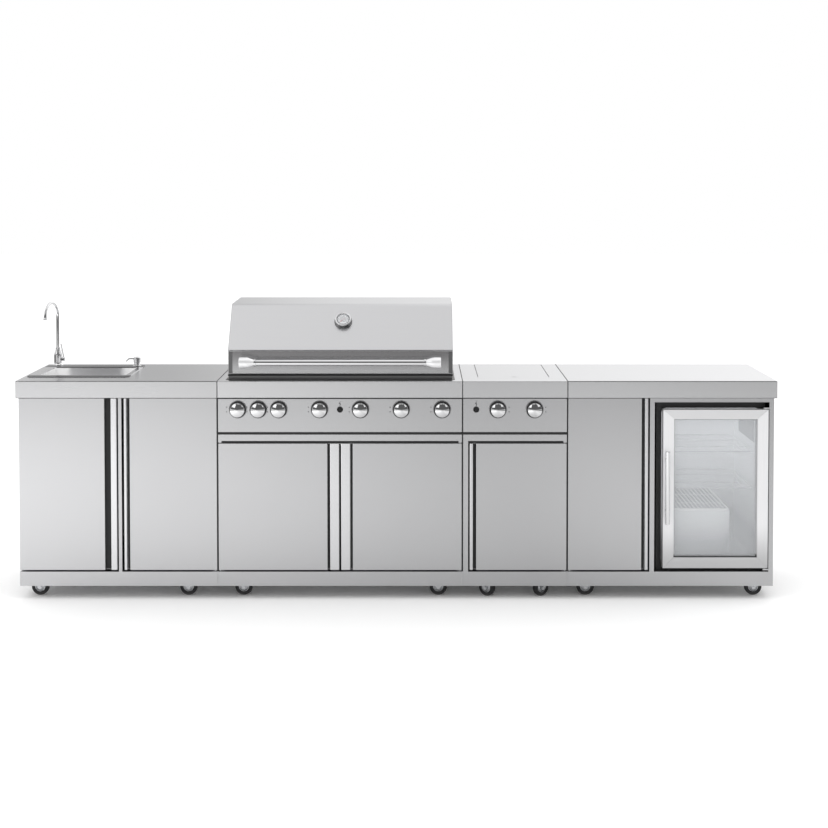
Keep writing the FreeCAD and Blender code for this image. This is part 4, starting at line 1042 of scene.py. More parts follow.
class ISLAND_OT_lid_handle(Operator):
    """Makes the polished tube across the lid with its flared ends and brackets"""

    bl_idname = "island.lid_handle"
    bl_label = "Lid handle"
    bl_options = UNDOABLE

    def execute(self, context):
        """A lathe form along X, whose radius follows a cosine from the tube to each flare."""
        look = context.scene.island_lid
        x, y, z = limits("lid_handle")
        centre, height = middle(x), middle(z)
        half = (x[1] - x[0]) / 2 + 0.009
        tube_r, flare_r = look.handle_radius, look.flare_radius
        front = y[0] + flare_r
        t = np.linspace(0, 1, 12)
        flare = tube_r + 0.001 + (flare_r - tube_r - 0.001) * (1 - np.cos(math.pi * t ** 0.8)) / 2
        along = half - 0.062 + 0.034 * t
        neck = [
            (tube_r, half - 0.073), (tube_r + 0.0024, half - 0.0715),
            (tube_r + 0.0024, half - 0.0640), (tube_r + 0.0008, half - 0.0625),
        ]
        end = [
            (flare_r + 0.0004, half - 0.012), (flare_r, half - 0.0015), (flare_r - 0.0015, half), (0, half),
        ]
        right = np.concatenate([neck, np.stack([flare, along], 1), end])
        left = right[::-1] * (1, -1)
        form = Form()
        for finish, rows in ((0, np.concatenate([left[-5:], right[:5]])), (1, left[:-4]), (1, right[4:])):
            form.turn(rows, finish, (centre, front, height), "x", steps=40)
        root = BAND_FACE - 0.0006
        reach = root - front
        stem = bent([
            (0.0, -0.0002), (0.020, -0.0002), (0.0125, 0.012), (0.0115, reach), (0.0, reach),
        ], 0.003)
        for side in (-1, 1):
            form.turn(stem, 1, (centre + side * (half - 0.026), root, height), "y", -1, 32)
        piece("lid_handle_bar", form, ("chrome", "flare"), "grill_lid", ["lid_handle"])
        return {"FINISHED"}


class ISLAND_OT_thermometer(Operator):
    """Makes the dial on the lid's slope: base flange, barrel, bezel, face, ticks, needle and lens"""

    bl_idname = "island.thermometer"
    bl_label = "Thermometer"
    bl_options = UNDOABLE

    def execute(self, context):
        """Forms turned about Y and then laid onto the slope."""
        form = Form()
        flange = bent([
            (0, -0.030), (0.005, -0.030), (0.005, 0.0), (0.0385, 0.0), (0.0385, 0.0035), (0.0345, 0.0060),
            (0.0305, 0.0062), (0.0, 0.0062),
        ], 0.0012, 4)
        barrel = bent([
            (0.0305, 0.005), (0.0305, 0.017), (0.0345, 0.018), (0.0345, 0.0222), (0.0325, 0.0235),
            (0.0290, 0.0235), (0.0275, 0.0195), (0.0, 0.019),
        ], 0.0012, 4)
        groove = [(0.0236, 0.0190), (0.0236, 0.0196), (0.0284, 0.0206), (0.0284, 0.0190), (0.0236, 0.0190)]
        face = [(0.0, 0.0188), (0.0240, 0.0188), (0.0240, 0.0193), (0.0, 0.0193)]
        hub = bent([(0.0, 0.0212), (0.0028, 0.0212), (0.0032, 0.0192), (0, 0.0192)], 0.0005)
        lens = [(0.0, 0.0214), (0.0299, 0.0212), (0.0299, 0.0206), (0.0, 0.0208)]
        # The flange is in darker chrome, a painted dark reflection, and the groove is inked black as
        # painted shade
        for profile, finish, steps in ((flange, 5, 64), (barrel, 0, 64), (groove, 2, 48), (face, 1, 48)):
            form.turn(profile, finish, axis="y", sign=-1, steps=steps)
        self.marks(form)
        form.turn(hub, 0, axis="y", sign=-1, steps=20)
        form.turn(lens, 4, axis="y", sign=-1)
        form.points = [self.laid(points) for points in form.points]
        finishes = ("chrome", "dial", "ink", "red", "lens", "dark_chrome")
        piece("thermometer_dial", form, finishes, "grill_lid", ["thermometer"])
        return {"FINISHED"}

    def marks(self, form):
        """Thirty-one ticks over three quarters of a circle, every fifth one bold, and the needle."""
        start, step = 225, 9
        for number in range(31):
            bold = number % 5 == 0
            reach, half = ((0.0170, 0.0222), 0.0007) if bold else ((0.0190, 0.0222), 0.0004)
            self.mark(form, start - step * number, reach, half, -0.01955, 2)
        self.mark(form, start, (-0.007, 0.0185), 0.0007, -0.0198, 3)

    def mark(self, form, degrees, reach, half, front, finish):
        """A thin raised bar on the face, from one radius to another along an angle."""
        turn = math.radians(degrees)
        start, end = (radius * np.array([math.cos(turn), math.sin(turn)]) for radius in reach)
        form.add(prism(stroke(start, end, half), "y", front, -0.0192), finish)

    def laid(self, points):
        """Turns points about X so that -Y becomes the slope's normal, and moves them to the dial's seat."""
        (y0, z0), (y1, z1) = SLOPE
        run, rise = y1 - y0, z1 - z0
        up = np.array([run, rise]) / math.hypot(run, rise)
        out = np.array([-up[1], up[0]])
        y, z = (-points[:, 1] * out[n] + points[:, 2] * up[n] for n in (0, 1))
        seat = (middle(limits("thermometer")[0]), y0 + (DIAL_HEIGHT - z0) / rise * run, DIAL_HEIGHT)
        return np.stack([points[:, 0], y, z], 1) + seat


class ISLAND_OT_controls(Operator):
    """Makes the knobs with their index marks, their bezels and dots, and the igniters with their zigzags"""

    bl_idname = "island.controls"
    bl_label = "Knobs and igniters"
    bl_options = UNDOABLE

    def execute(self, context):
        """One piece for each knob and button, and one for all the rings."""
        look = context.scene.island_controls
        rings = Form()
        for node in frame["nodes"]:
            if "_knob_" in node:
                self.knob(look, node)
                self.bezel(look, rings, node)
            elif node.endswith("_igniter"):
                self.button(look, rings, node)
        piece("control_rings", rings, ("ink", "dark_chrome", "black"), ISLAND)
        return {"FINISHED"}

    def knob(self, look, node):
        """A turned grip with a crowned face, a soft rim and a grooved skirt, and its index mark."""
        x, y, z = limits(node)
        radius, crown, face_r = look.knob_radius, look.crown, look.face_radius
        centre = (middle(x), 0.0, z[0] + radius)
        front, rear = -y[0], -y[0] - 0.0354
        rise = np.linspace(1, 0, 9)
        face = np.stack([face_r * rise, front - crown * rise ** 2], 1)
        grip = bent([
            (0.0, -y[1]), (0.004, -y[1]), (0.004, rear), (radius - 0.002, rear),
            (radius - 0.002, rear + 0.003), (radius, rear + 0.005),
            (face_r + 0.0012, front - crown - 0.0012), tuple(face[0]),
        ], 0.0012, 4)
        mark_x = grown((centre[0], centre[0]), 0.0012)
        mark_y, mark_z = (y[0] + crown * 0.4, y[0] + 0.008), (z[1] - 0.0085, z[1] - 0.0002)
        form = Form()
        form.turn(np.concatenate([grip, face[1:]]), 0, centre, "y", -1, 64)
        form.add(block(mark_x, mark_y, mark_z, 0.0006, 0.0003), 1)
        piece(f"{node}_grip", form, ("chrome", "ink"), node, [node])

    def bezel(self, look, rings, node):
        """A ring of half-round section round the knob in darker chrome as a painted dark reflection, a
        black well inside it as painted shade, and two dots beside it.
        """
        x, _, z = limits(node)
        centre = (middle(x), 0.0, z[0] + look.knob_radius)
        radius, face = look.bezel_radius, -FACE
        section = bent([
            (radius - 0.0045, face + 0.0040), (radius - 0.002, face + 0.0046), (radius, face + 0.003),
            (radius, face - 0.001), (radius - 0.0045, face - 0.001), (radius - 0.0045, face + 0.0040),
        ], 0.0012, 4)
        well = [
            (0.006, face + 0.0042), (radius - 0.0040, face + 0.0042), (radius - 0.0040, face - 0.001),
            (0.006, face - 0.001), (0.006, face + 0.0042),
        ]
        dot = [(0.0, face + 0.0002), (0.0022, face + 0.0002), (0.0022, face - 0.0005)]
        rings.turn(section, 1, centre, "y", -1, 64)
        rings.turn(well, 2, centre, "y", -1)
        aside = 0.0475 if node.startswith("burner") else -0.0475
        for up in (-0.010, 0.010):
            rings.turn(dot, 0, (centre[0] + aside, 0.0, centre[2] + up), "y", -1, 16)

    def button(self, look, rings, node):
        """A crowned push button in a stepped ring, with a zigzag above it."""
        x, y, z = limits(node)
        centre = (middle(x), 0.0, middle(z))
        radius, front, face = look.button_radius, -y[0], -FACE
        crown = bent([
            (0.0, -y[1]), (radius - 0.001, -y[1]), (radius - 0.0004, front - 0.002),
            (radius - 0.002, front), (0.0, front),
        ], 0.0012, 4)
        form = Form()
        form.turn(crown, 0, centre, "y", -1, 32)
        piece(f"{node}_button", form, ("black",), node, [node])
        ring = bent([
            (radius + 0.0006, face + 0.0050), (radius + 0.0036, face + 0.0056),
            (radius + 0.0055, face + 0.0025), (radius + 0.0055, face - 0.001),
            (radius + 0.0006, face - 0.001), (radius + 0.0006, face + 0.0050),
        ], 0.0008, 3)
        rings.turn(ring, 2, centre, "y", -1, 40)
        zigzag = np.array([(0.002, 0.034), (-0.004, 0.024), (0.003, 0.024), (-0.001, 0.014)])
        for start, end in zip(zigzag, zigzag[1:]):
            corners = stroke(start, end, 0.0007) + (centre[0], centre[2])
            rings.add(prism(corners, "y", FACE - 0.0044, FACE - 0.0035))


class ISLAND_OT_tap(Operator):
    """Makes the tap's body, swan neck and lever, and the soap dispenser with its bottle"""

    bl_idname = "island.tap"
    bl_label = "Tap and soap dispenser"
    bl_options = UNDOABLE

    def execute(self, context):
        """Turned bodies and tubes carried along the swan neck."""
        look = context.scene.island_taps
        tap, soap = np.array(look.tap), np.array(look.soap)
        self.bodies(tap, soap)
        self.neck(look, tap)
        self.lever(tap)
        self.pump(soap)
        return {"FINISHED"}

    def bodies(self, tap, soap):
        """The parts fixed to the ledge: the tap's body, boss and nut, and the soap's collar and bottle."""
        body = bent([
            (0.0, -0.058), (0.010, -0.058), (0.010, 0.0), (0.024, 0.0), (0.0235, 0.003), (0.0185, 0.008),
            (0.0175, 0.012), (0.0175, 0.052), (0.0115, 0.070), (0.011, 0.074), (0.0065, 0.0742),
            (0.0065, 0.056), (0.0, 0.056),
        ], 0.0025, 5)
        boss = bent([
            (0.0, 0.008), (0.011, 0.008), (0.011, 0.0196), (0.0055, 0.020), (0.0, 0.020),
        ], 0.001, 3)
        nut = bent([
            (0.0101, -0.013), (0.017, -0.013), (0.017, -0.003), (0.0101, -0.003), (0.0101, -0.013),
        ], 0.001, 3)
        collar = bent([
            (0.0, 0.0), (0.012, 0.0), (0.019, 0.0), (0.0185, 0.003), (0.0135, 0.0034), (0.0135, 0.0204),
            (0.0072, 0.0204), (0.0072, 0.001),
        ], 0.001, 4)
        low = limits("tap_body")[2][0] - soap[2]
        bottle = bent([
            (0.0, low), (0.028, low), (0.028, low + 0.092), (0.012, low + 0.112), (0.012, -0.001),
            (0.0, -0.001),
        ], 0.008, 6)
        form = Form()
        form.turn(body, 0, tap)
        form.turn(boss, 0, tap + (0, 0, 0.030), "x", 1, 32)
        form.turn(nut, 0, tap, steps=6)
        form.turn(collar, 0, soap, steps=40)
        form.turn(bottle, 1, soap, steps=40)
        # The bottle takes the lining's finish, with its painted glow
        piece("tap_and_soap_body", form, ("chrome", "liner"), ISLAND, ["tap_body"])

    def neck(self, look, tap):
        """A tube along a straight rise, a half circle of the arch radius and a short drop, with a
        mouthpiece at its end and a collar at its foot."""
        bend = limits("tap_spout")[2][1] - look.tube - look.arch
        foot, mouth = tap[2] + 0.0745, 1.1595
        rise = np.stack([np.zeros(8), np.linspace(foot - 0.016, bend, 8)], 1)
        over = arc(look.arch, math.pi, 0.0, 28, (look.arch, bend))
        flat = np.concatenate([rise, over[1:], [(2 * look.arch, bend - 0.0035)]])
        turn = -math.pi / 2 - look.spout_turn
        way = np.array([math.cos(turn), math.sin(turn), 0.0])
        path = flat[:, :1] * way + flat[:, 1:] * (0, 0, 1) + (tap[0], tap[1], 0.0)
        tip = bent([
            (0.0, mouth), (0.0062, mouth), (0.0066, mouth - 0.0015), (0.008, mouth - 0.0013),
            (0.008, bend - 0.001), (0.0066, bend), (0.0, bend),
        ], 0.0008, 4)
        collar = bent([
            (0.0, foot), (0.010, foot), (0.010, foot + 0.008), (0.0075, foot + 0.0102),
            (0.0, foot + 0.0102),
        ], 0.0014, 4)
        form = Form()
        form.add(tube(path, look.tube, 24, across=np.cross(way, (0, 0, 1))))
        form.turn(tip, 0, path[-1] * (1, 1, 0), steps=28)
        form.turn(collar, 0, tap * (1, 1, 0), steps=32)
        piece("tap_neck", form, ("chrome",), "tap_spout", ["tap_spout"])

    def lever(self, tap):
        """A turned hub and a slim arm with rounded ends."""
        base = tap + (0, 0, 0.030)
        hub = bent([
            (0.0, 0.0095), (0.005, 0.0095), (0.005, 0.0205), (0.010, 0.0205), (0.010, 0.0305),
            (0.0085, 0.032), (0.0, 0.032),
        ], 0.0012, 4)
        form = Form()
        form.turn(hub, 0, base, "x", 1, 32)
        form.add(round_ended(base + (0.0275, 0, 0), base + (0.014, 0, 0.068), 0.0036, 0.0018, 20))
        piece("tap_lever_arm", form, ("chrome",), "tap_lever", ["tap_lever"])

    def pump(self, soap):
        """The pressed head and its drooping nozzle."""
        base = soap + (0, 0, 0.021)
        head = bent([
            (0.0, -0.070), (0.0064, -0.070), (0.0064, 0.0122), (0.0142, 0.0122), (0.0142, -0.0052),
            (0.0158, -0.0052), (0.0158, 0.0165), (0.0125, 0.0197), (0.0, 0.020),
        ], 0.0012, 5)
        lean = 0.21
        route = bent([(0.0, 0.012), (-0.038, 0.013), (-0.048, 0.0)], 0.010, 8)
        path = np.stack([route[:, 0], route[:, 0] * lean, route[:, 1]], 1) + base
        form = Form()
        form.turn(head, 0, base, steps=40)
        form.add(tube(path, np.linspace(0.0037, 0.0032, len(path)), 20, across=(lean, -1.0, 0.0)))
        piece("soap_pump_head", form, ("chrome",), "soap_pump", ["soap_pump"])


class ISLAND_OT_sink(Operator):
    """Makes the drop-in sink: rim with its soft lip, ledge, bowl with rounded foot, and the strainer"""

    bl_idname = "island.sink"
    bl_label = "Sink"
    bl_options = UNDOABLE

    def execute(self, context):
        """Rounded rectangles stacked from the rim's edge over the lip and down the bowl, then back
        up its outside, so that the sheet is one closed shell."""
        look = context.scene.island_sink
        x, y, z = limits("sink_basin")
        depth, lip, mouth = 0.150, 0.0012, 0.004
        flange, dish, drain = 0.048, 0.0455, 0.0225
        top, under = z[1], z[1] - look.ledge
        floor = under - depth
        bowl_x, bowl_y = BOWL
        centre = (middle(bowl_x), middle(bowl_y))
        corner, rim_corner, foot, sheet = look.bowl_corner, look.rim_corner, look.foot, look.sheet

        def layer(xs, ys, grow, radius, height):
            return placed(round_rectangle(grown(xs, grow), grown(ys, grow), radius, 8), height, "z")

        def ring(radius, height):
            return layer(centre[:1] * 2, centre[1:] * 2, radius, radius, height)

        def quarter(steps):
            return [(math.sin(turn), math.cos(turn)) for turn in np.linspace(0, math.pi / 2, steps)]

        rim = [layer(x, y, -0.0003, rim_corner, under), layer(x, y, 0.0, rim_corner, under + 0.0008)]
        rim += [layer(x, y, -lip * (1 - c), rim_corner, top - lip * (1 - s)) for s, c in quarter(5)]
        rim += [
            layer(bowl_x, bowl_y, mouth * (1 - s), corner + mouth * (1 - s), top - mouth * (1 - c))
            for s, c in quarter(7)]
        bowl = rim[-1:] + [
            layer(bowl_x, bowl_y, -foot * (1 - c) - sheet, corner, floor + sheet + foot * (1 - s))
            for s, c in quarter(7)]
        bowl += [ring(flange, floor + sheet - 0.0002), ring(dish, floor + sheet - 0.0016)]
        outside = [
            bowl[-1], ring(drain, floor + sheet - 0.0016), ring(drain, floor - 0.0008),
            ring(flange, floor - 0.0006)]
        outside += [
            layer(bowl_x, bowl_y, -foot * (1 - s), corner, floor + foot * (1 - c)) for s, c in quarter(5)]
        outside += [layer(bowl_x, bowl_y, 0.0, corner, under - 0.002), rim[0]]
        form = Form()
        for finish, rows in ((0, rim), (2, bowl), (0, outside)):
            form.add(np.stack(rows), finish, capped=False)
        self.strainer(form, (*centre, floor + sheet), z[0])
        piece("sink_shell", form, ("steel_rim", "chrome", "bowl"), ISLAND, ["sink_basin"])
        return {"FINISHED"}

    def strainer(self, form, seat, foot):
        """The drain's dished flange, the basket with its knob, and the tail below."""
        low = foot - seat[2]
        flange = bent([
            (0.0225, -0.004), (0.0225, 0.0002), (0.030, 0.0012), (0.043, 0.0012), (0.045, -0.0002),
            (0.045, -0.0014), (0.0228, -0.0014), (0.0225, -0.004),
        ], 0.0008, 4)
        basket = bent([
            (0.0, -0.010), (0.014, -0.010), (0.0215, -0.003), (0.0215, -0.0045), (0.0, -0.0115),
        ], 0.002, 4)
        knob = bent([
            (0.0, -0.010), (0.003, -0.010), (0.003, 0.0), (0.006, 0.002), (0.006, 0.006), (0, 0.007),
        ], 0.001, 3)
        tail = [
            (0.0175, low), (0.019, low), (0.019, -0.0262), (0.0215, -0.0262), (0.032, -0.0112),
            (0.032, -0.0022), (0.0175, -0.0022), (0.0175, low),
        ]
        for profile, steps in ((flange, 48), (basket, 40), (knob, 24), (tail, 40)):
            form.turn(profile, 1, seat, steps=steps)


class ISLAND_OT_burner_lid(Operator):
    """Makes the side burner's flush folded lid with its finger notch"""

    bl_idname = "island.burner_lid"
    bl_label = "Side burner lid"
    bl_options = UNDOABLE

    def execute(self, context):
        """The lid's outline in plan, stacked down its inside, round its lip and over its top fold."""
        x, y, z = limits("burner_lid")
        fold, sheet, corner = 0.0016, 0.0010, 0.003
        in_x, in_y = grown(x, -corner), grown(y, -corner)
        quarter = math.pi / 2
        notch = arc(0.0148, math.pi * 0.94, math.pi * 0.06, 14, (middle(x), y[0] - 0.003))
        outline = anticlockwise(np.concatenate([
            arc(corner, 2 * quarter, 3 * quarter, 5, (in_x[0], in_y[0])),
            notch[notch[:, 1] > y[0] + 0.0004],
            arc(corner, 3 * quarter, TURN, 5, (in_x[1], in_y[0])),
            arc(corner, 0, quarter, 5, (in_x[1], in_y[1])),
            arc(corner, quarter, 2 * quarter, 5, (in_x[0], in_y[1])),
        ]))
        steps = [(sheet + fold, z[1] - sheet), (sheet, z[1] - sheet - fold), (sheet, z[0]), (0.0, z[0])]
        steps += [
            (fold * (1 - math.cos(turn)), z[1] - fold * (1 - math.sin(turn)))
            for turn in np.linspace(0, quarter, 5)]
        form = Form()
        form.stack([(inset(outline, depth), height) for depth, height in steps])
        piece("burner_lid_skin", form, ("steel_top",), "burner_lid", ["burner_lid"])
        return {"FINISHED"}


class ISLAND_OT_fridge(Operator):
    """Makes the refrigerator's dark case with its pale lining, the step over the compressor with its
    mat, the door's gasket and the vent grille"""

    bl_idname = "island.fridge"
    bl_label = "Refrigerator case"
    bl_options = UNDOABLE

    def execute(self, context):
        """A rounded rectangle carried forwards outside, in over the rim and back inside."""
        x, y, z = limits("fridge_body")
        wall, radius = 0.032, 0.010
        in_x, in_z, floor = grown(x, -wall), grown(z, -wall), y[1] - wall
        outer = round_rectangle(x, z, 0.004, 4)
        inner = round_rectangle(in_x, in_z, radius, 4)
        rim = inset(inner, -radius)
        seal = round_rectangle((x[0] + 0.026, x[1] - 0.008), (z[0] + 0.018, z[1] - 0.026), 0.008, 4)
        case = [(outer, y[1]), (outer, y[0]), (rim, y[0])]
        lining = [(rim, y[0]), (inner, y[0] + 0.006), (inner, floor)]
        back, front = y[0] + 0.0002, y[0] - 0.0032
        hollow = inset(seal, 0.012)
        gasket = [(seal, back), (seal, front), (hollow, front), (hollow, back), (seal, back)]
        step_x, step_y = (in_x[0] + 0.0002, STEP_END), (-0.205, floor - 0.0002)
        mat_y = (step_y[0] + 0.007, step_y[1] - 0.004)
        form = Form()
        form.stack(case, 0, "y", (True, False))
        form.stack(lining, 1, "y", (False, True))
        # The step takes the lining's finish, with its painted glow and painted shade
        form.add(block(step_x, step_y, (in_z[0] + 0.0002, STEP_TOP), 0.006, 0.003, "x"), 1)
        form.add(block(grown(step_x, -0.004), mat_y, (STEP_TOP - 0.0004, STEP_TOP + 0.0003)), 2)
        form.stack(gasket, 0, "y", False)
        vent_x = (in_x[1] - 0.0034, in_x[1] + 0.001)
        form.add(block(vent_x, (-0.17, 0.14), (0.655, 0.765), 0.001, 0.001, "z"), 2)
        piece("fridge_case", form, ("case", "liner", "vent"), ISLAND, ["fridge_body"])
        return {"FINISHED"}


class ISLAND_OT_racks(Operator):
    """Makes the refrigerator's two wire shelves and the half rack on the step"""

    bl_idname = "island.racks"
    bl_label = "Refrigerator racks"
    bl_options = UNDOABLE

    def execute(self, context):
        """A bent border wire for each rack, with straight wires from front to rear across it."""
        wire, rise = context.scene.island_glass_door.wire, 0.0025
        x, y, _ = limits("fridge_racks")
        form = Form()
        for height in SHELVES:
            self.rack(form, x, (y[0] + 0.012, y[1]), height + rise, 25, wire)
        self.rack(form, (x[0], STEP_END), y, STEP_TOP + rise, 15, wire * 1.4, 1)
        piece("wire_racks", form, ("chrome", "coat"), ISLAND, ["fridge_racks"])
        return {"FINISHED"}

    def rack(self, form, x, y, height, count, wire, finish=0):
        """One rack: its border, its wires, and two cross wires below them."""
        thick = wire * 1.5
        side = grown(x, -thick - 0.001)
        deep = (y[0] + thick, y[1] - thick - 0.001)
        border = round_rectangle(side, deep, 0.014, 6)
        keep = np.concatenate([[True], np.linalg.norm(np.diff(border, axis=0), axis=1) > 1e-6])
        loop = placed(border[keep], height, "z")
        along = np.roll(loop, -1, 0) - np.roll(loop, 1, 0)
        out = np.cross(along / np.linalg.norm(along, axis=1)[:, None], (0, 0, 1))
        ring = arc(thick, 0, TURN, 11)[:-1]
        rows = loop[:, None] + out[:, None] * ring[None, :, :1] + np.array([0, 0, 1.0]) * ring[None, :, 1:]
        form.add(np.concatenate([rows, rows[:1]]), finish, capped=False)
        for across in np.linspace(side[0], side[1], count + 2)[1:-1]:
            form.add(tube([(across, deep[0], height), (across, deep[1], height)], wire * 0.75, 8), finish)
        for part in (0.3, 0.7):
            at = deep[0] + part * (deep[1] - deep[0])
            form.add(tube([(side[0], at, height - wire), (side[1], at, height - wire)], wire, 8), finish)


class ISLAND_OT_glass_door(Operator):
    """Makes the refrigerator's door: four mitred rails, the seal round the opening, two panes and the
    bar handle"""

    bl_idname = "island.glass_door"
    bl_label = "Glass door"
    bl_options = UNDOABLE

    # The height of the handle bar's ends and of its two pins
    BAR = (0.327, 0.639)
    PINS = (0.384, 0.601)

    def execute(self, context):
        """Rails pushed from front to rear with their rims rounded, so that the mitres show as grooves."""
        look = context.scene.island_glass_door
        x, y, z = limits("glass_door_frame")
        in_x = grown(x, -look.side)
        in_z = (z[0] + look.foot, z[1] - look.head)
        stiles = [[(x[n], z[0]), (in_x[n], in_z[0]), (in_x[n], in_z[1]), (x[n], z[1])] for n in (0, 1)]
        rails = [[(x[0], z[n]), (x[1], z[n]), (in_x[1], in_z[n]), (in_x[0], in_z[n])] for n in (0, 1)]
        form = Form()
        for finish, bars in ((0, stiles), (3, rails)):
            for bar in bars:
                form.add(prism(bar, "y", FACE, y[1], look.rim), finish)
        self.gasket(form, in_x, in_z, (FACE + 0.006, y[1] - 0.004))
        self.handle(form, look.bar, x[0] + 0.016)
        # The frame has painted shade near the floor and under the worktop, and the seal's black foot is
        # painted shade
        finishes = ("door_stile", "chrome", "door_seal", "door_rail")
        piece("glass_door_rails", form, finishes, "glass_door", ["glass_door_frame"])
        self.panes(in_x, in_z)
        return {"FINISHED"}

    def gasket(self, form, x, z, y):
        """A strip round the opening, from the panes' rim to its inner edge."""
        outer = round_rectangle(x, z, 0.0006, 3)
        inner = round_rectangle(grown(x, -0.004), grown(z, -0.004), 0.003, 3)
        loop = ((outer, y[0]), (inner, y[0]), (inner, y[1]), (outer, y[1]), (outer, y[0]))
        form.stack(loop, 2, "y", False)

    def handle(self, form, radius, x):
        """The upright bar with crowned ends, standing off on two collared pins."""
        y = FACE - 0.026
        pin = bent([
            (0.0, -0.0003), (0.0085, -0.0003), (0.0085, 0.0035), (0.006, 0.005),
            (0.0056, 0.024), (0.0, 0.024),
        ], 0.0008, 3)
        form.add(round_ended((x, y, self.BAR[0]), (x, y, self.BAR[1]), radius, 0.0025, 32), 1)
        for height in self.PINS:
            form.turn(pin, 1, (x, FACE, height), "y", -1, 24)

    def panes(self, x, z):
        """The sealed pair of panes."""
        form, thick = Form(), 0.004
        outline = round_rectangle(grown(x, -0.001), grown(z, -0.001), 0.002, 3)
        for front in (FACE + 0.007, FACE + 0.025):
            form.add(prism(outline, "y", front, front + thick))
        piece("glass_door_glazing", form, ("glass",), "glass_door", ["glass_door_panes"])


class ISLAND_OT_casters(Operator):
    """Makes the sixteen wheels: tyre and dished metal hub"""

    bl_idname = "island.casters"
    bl_label = "Wheels"
    bl_options = UNDOABLE

    def execute(self, context):
        """A wheel about each rolling joint's axis, and the eight rear wheels in one piece."""
        look = context.scene.island_casters
        finishes = ("rubber", "zinc")
        rear = Form()
        for joint in frame["joints"]:
            if joint["name"].startswith("front_roll_"):
                form, node = Form(), joint["child"]
                self.wheel(look, form, joint["pos_m"], joint["axis"])
                piece(f"{node}_tyre", form, finishes, node, [node])
            elif joint["name"].startswith("front_swivel_"):
                self.wheel(look, rear, (joint["pos_m"][0], look.rear_line, look.radius), (1.0, 0.0, 0.0))
        piece("rear_wheel_tyres", rear, finishes, "rear_wheels", ["rear_wheels"])
        return {"FINISHED"}

    def wheel(self, look, form, centre, axis):
        """A turned tyre with a crowned tread, and a hub dished between its rim and its boss. Both
        profiles are the same on the far side, turned about Z and then laid along the level axis."""
        radius, half, hub = look.radius, look.width / 2, look.hub
        tread = [(hub, half - 0.003), (hub + 0.002, half), (radius - 0.004, half), (radius, half - 0.005)]
        disc = [
            (0.0044, half), (0.009, half), (0.010, half - 0.005), (hub - 0.0055, half - 0.007),
            (hub - 0.003, half - 0.002), (hub + 0.0004, half - 0.002),
        ]
        axis, up = np.array(axis), np.array([0, 0, 1.0])
        side = np.cross(axis, up)
        for finish, near, bend, steps in ((0, tread, 0.003, 5), (1, disc, 0.0014, 3)):
            far = [(r, -h) for r, h in near]
            rows = lathe(bent(far + near[::-1] + far[:1], bend, steps), steps=40)
            laid = rows[..., :1] * side + rows[..., 1:2] * up + rows[..., 2:] * axis
            form.add(laid + centre, finish, capped=False)


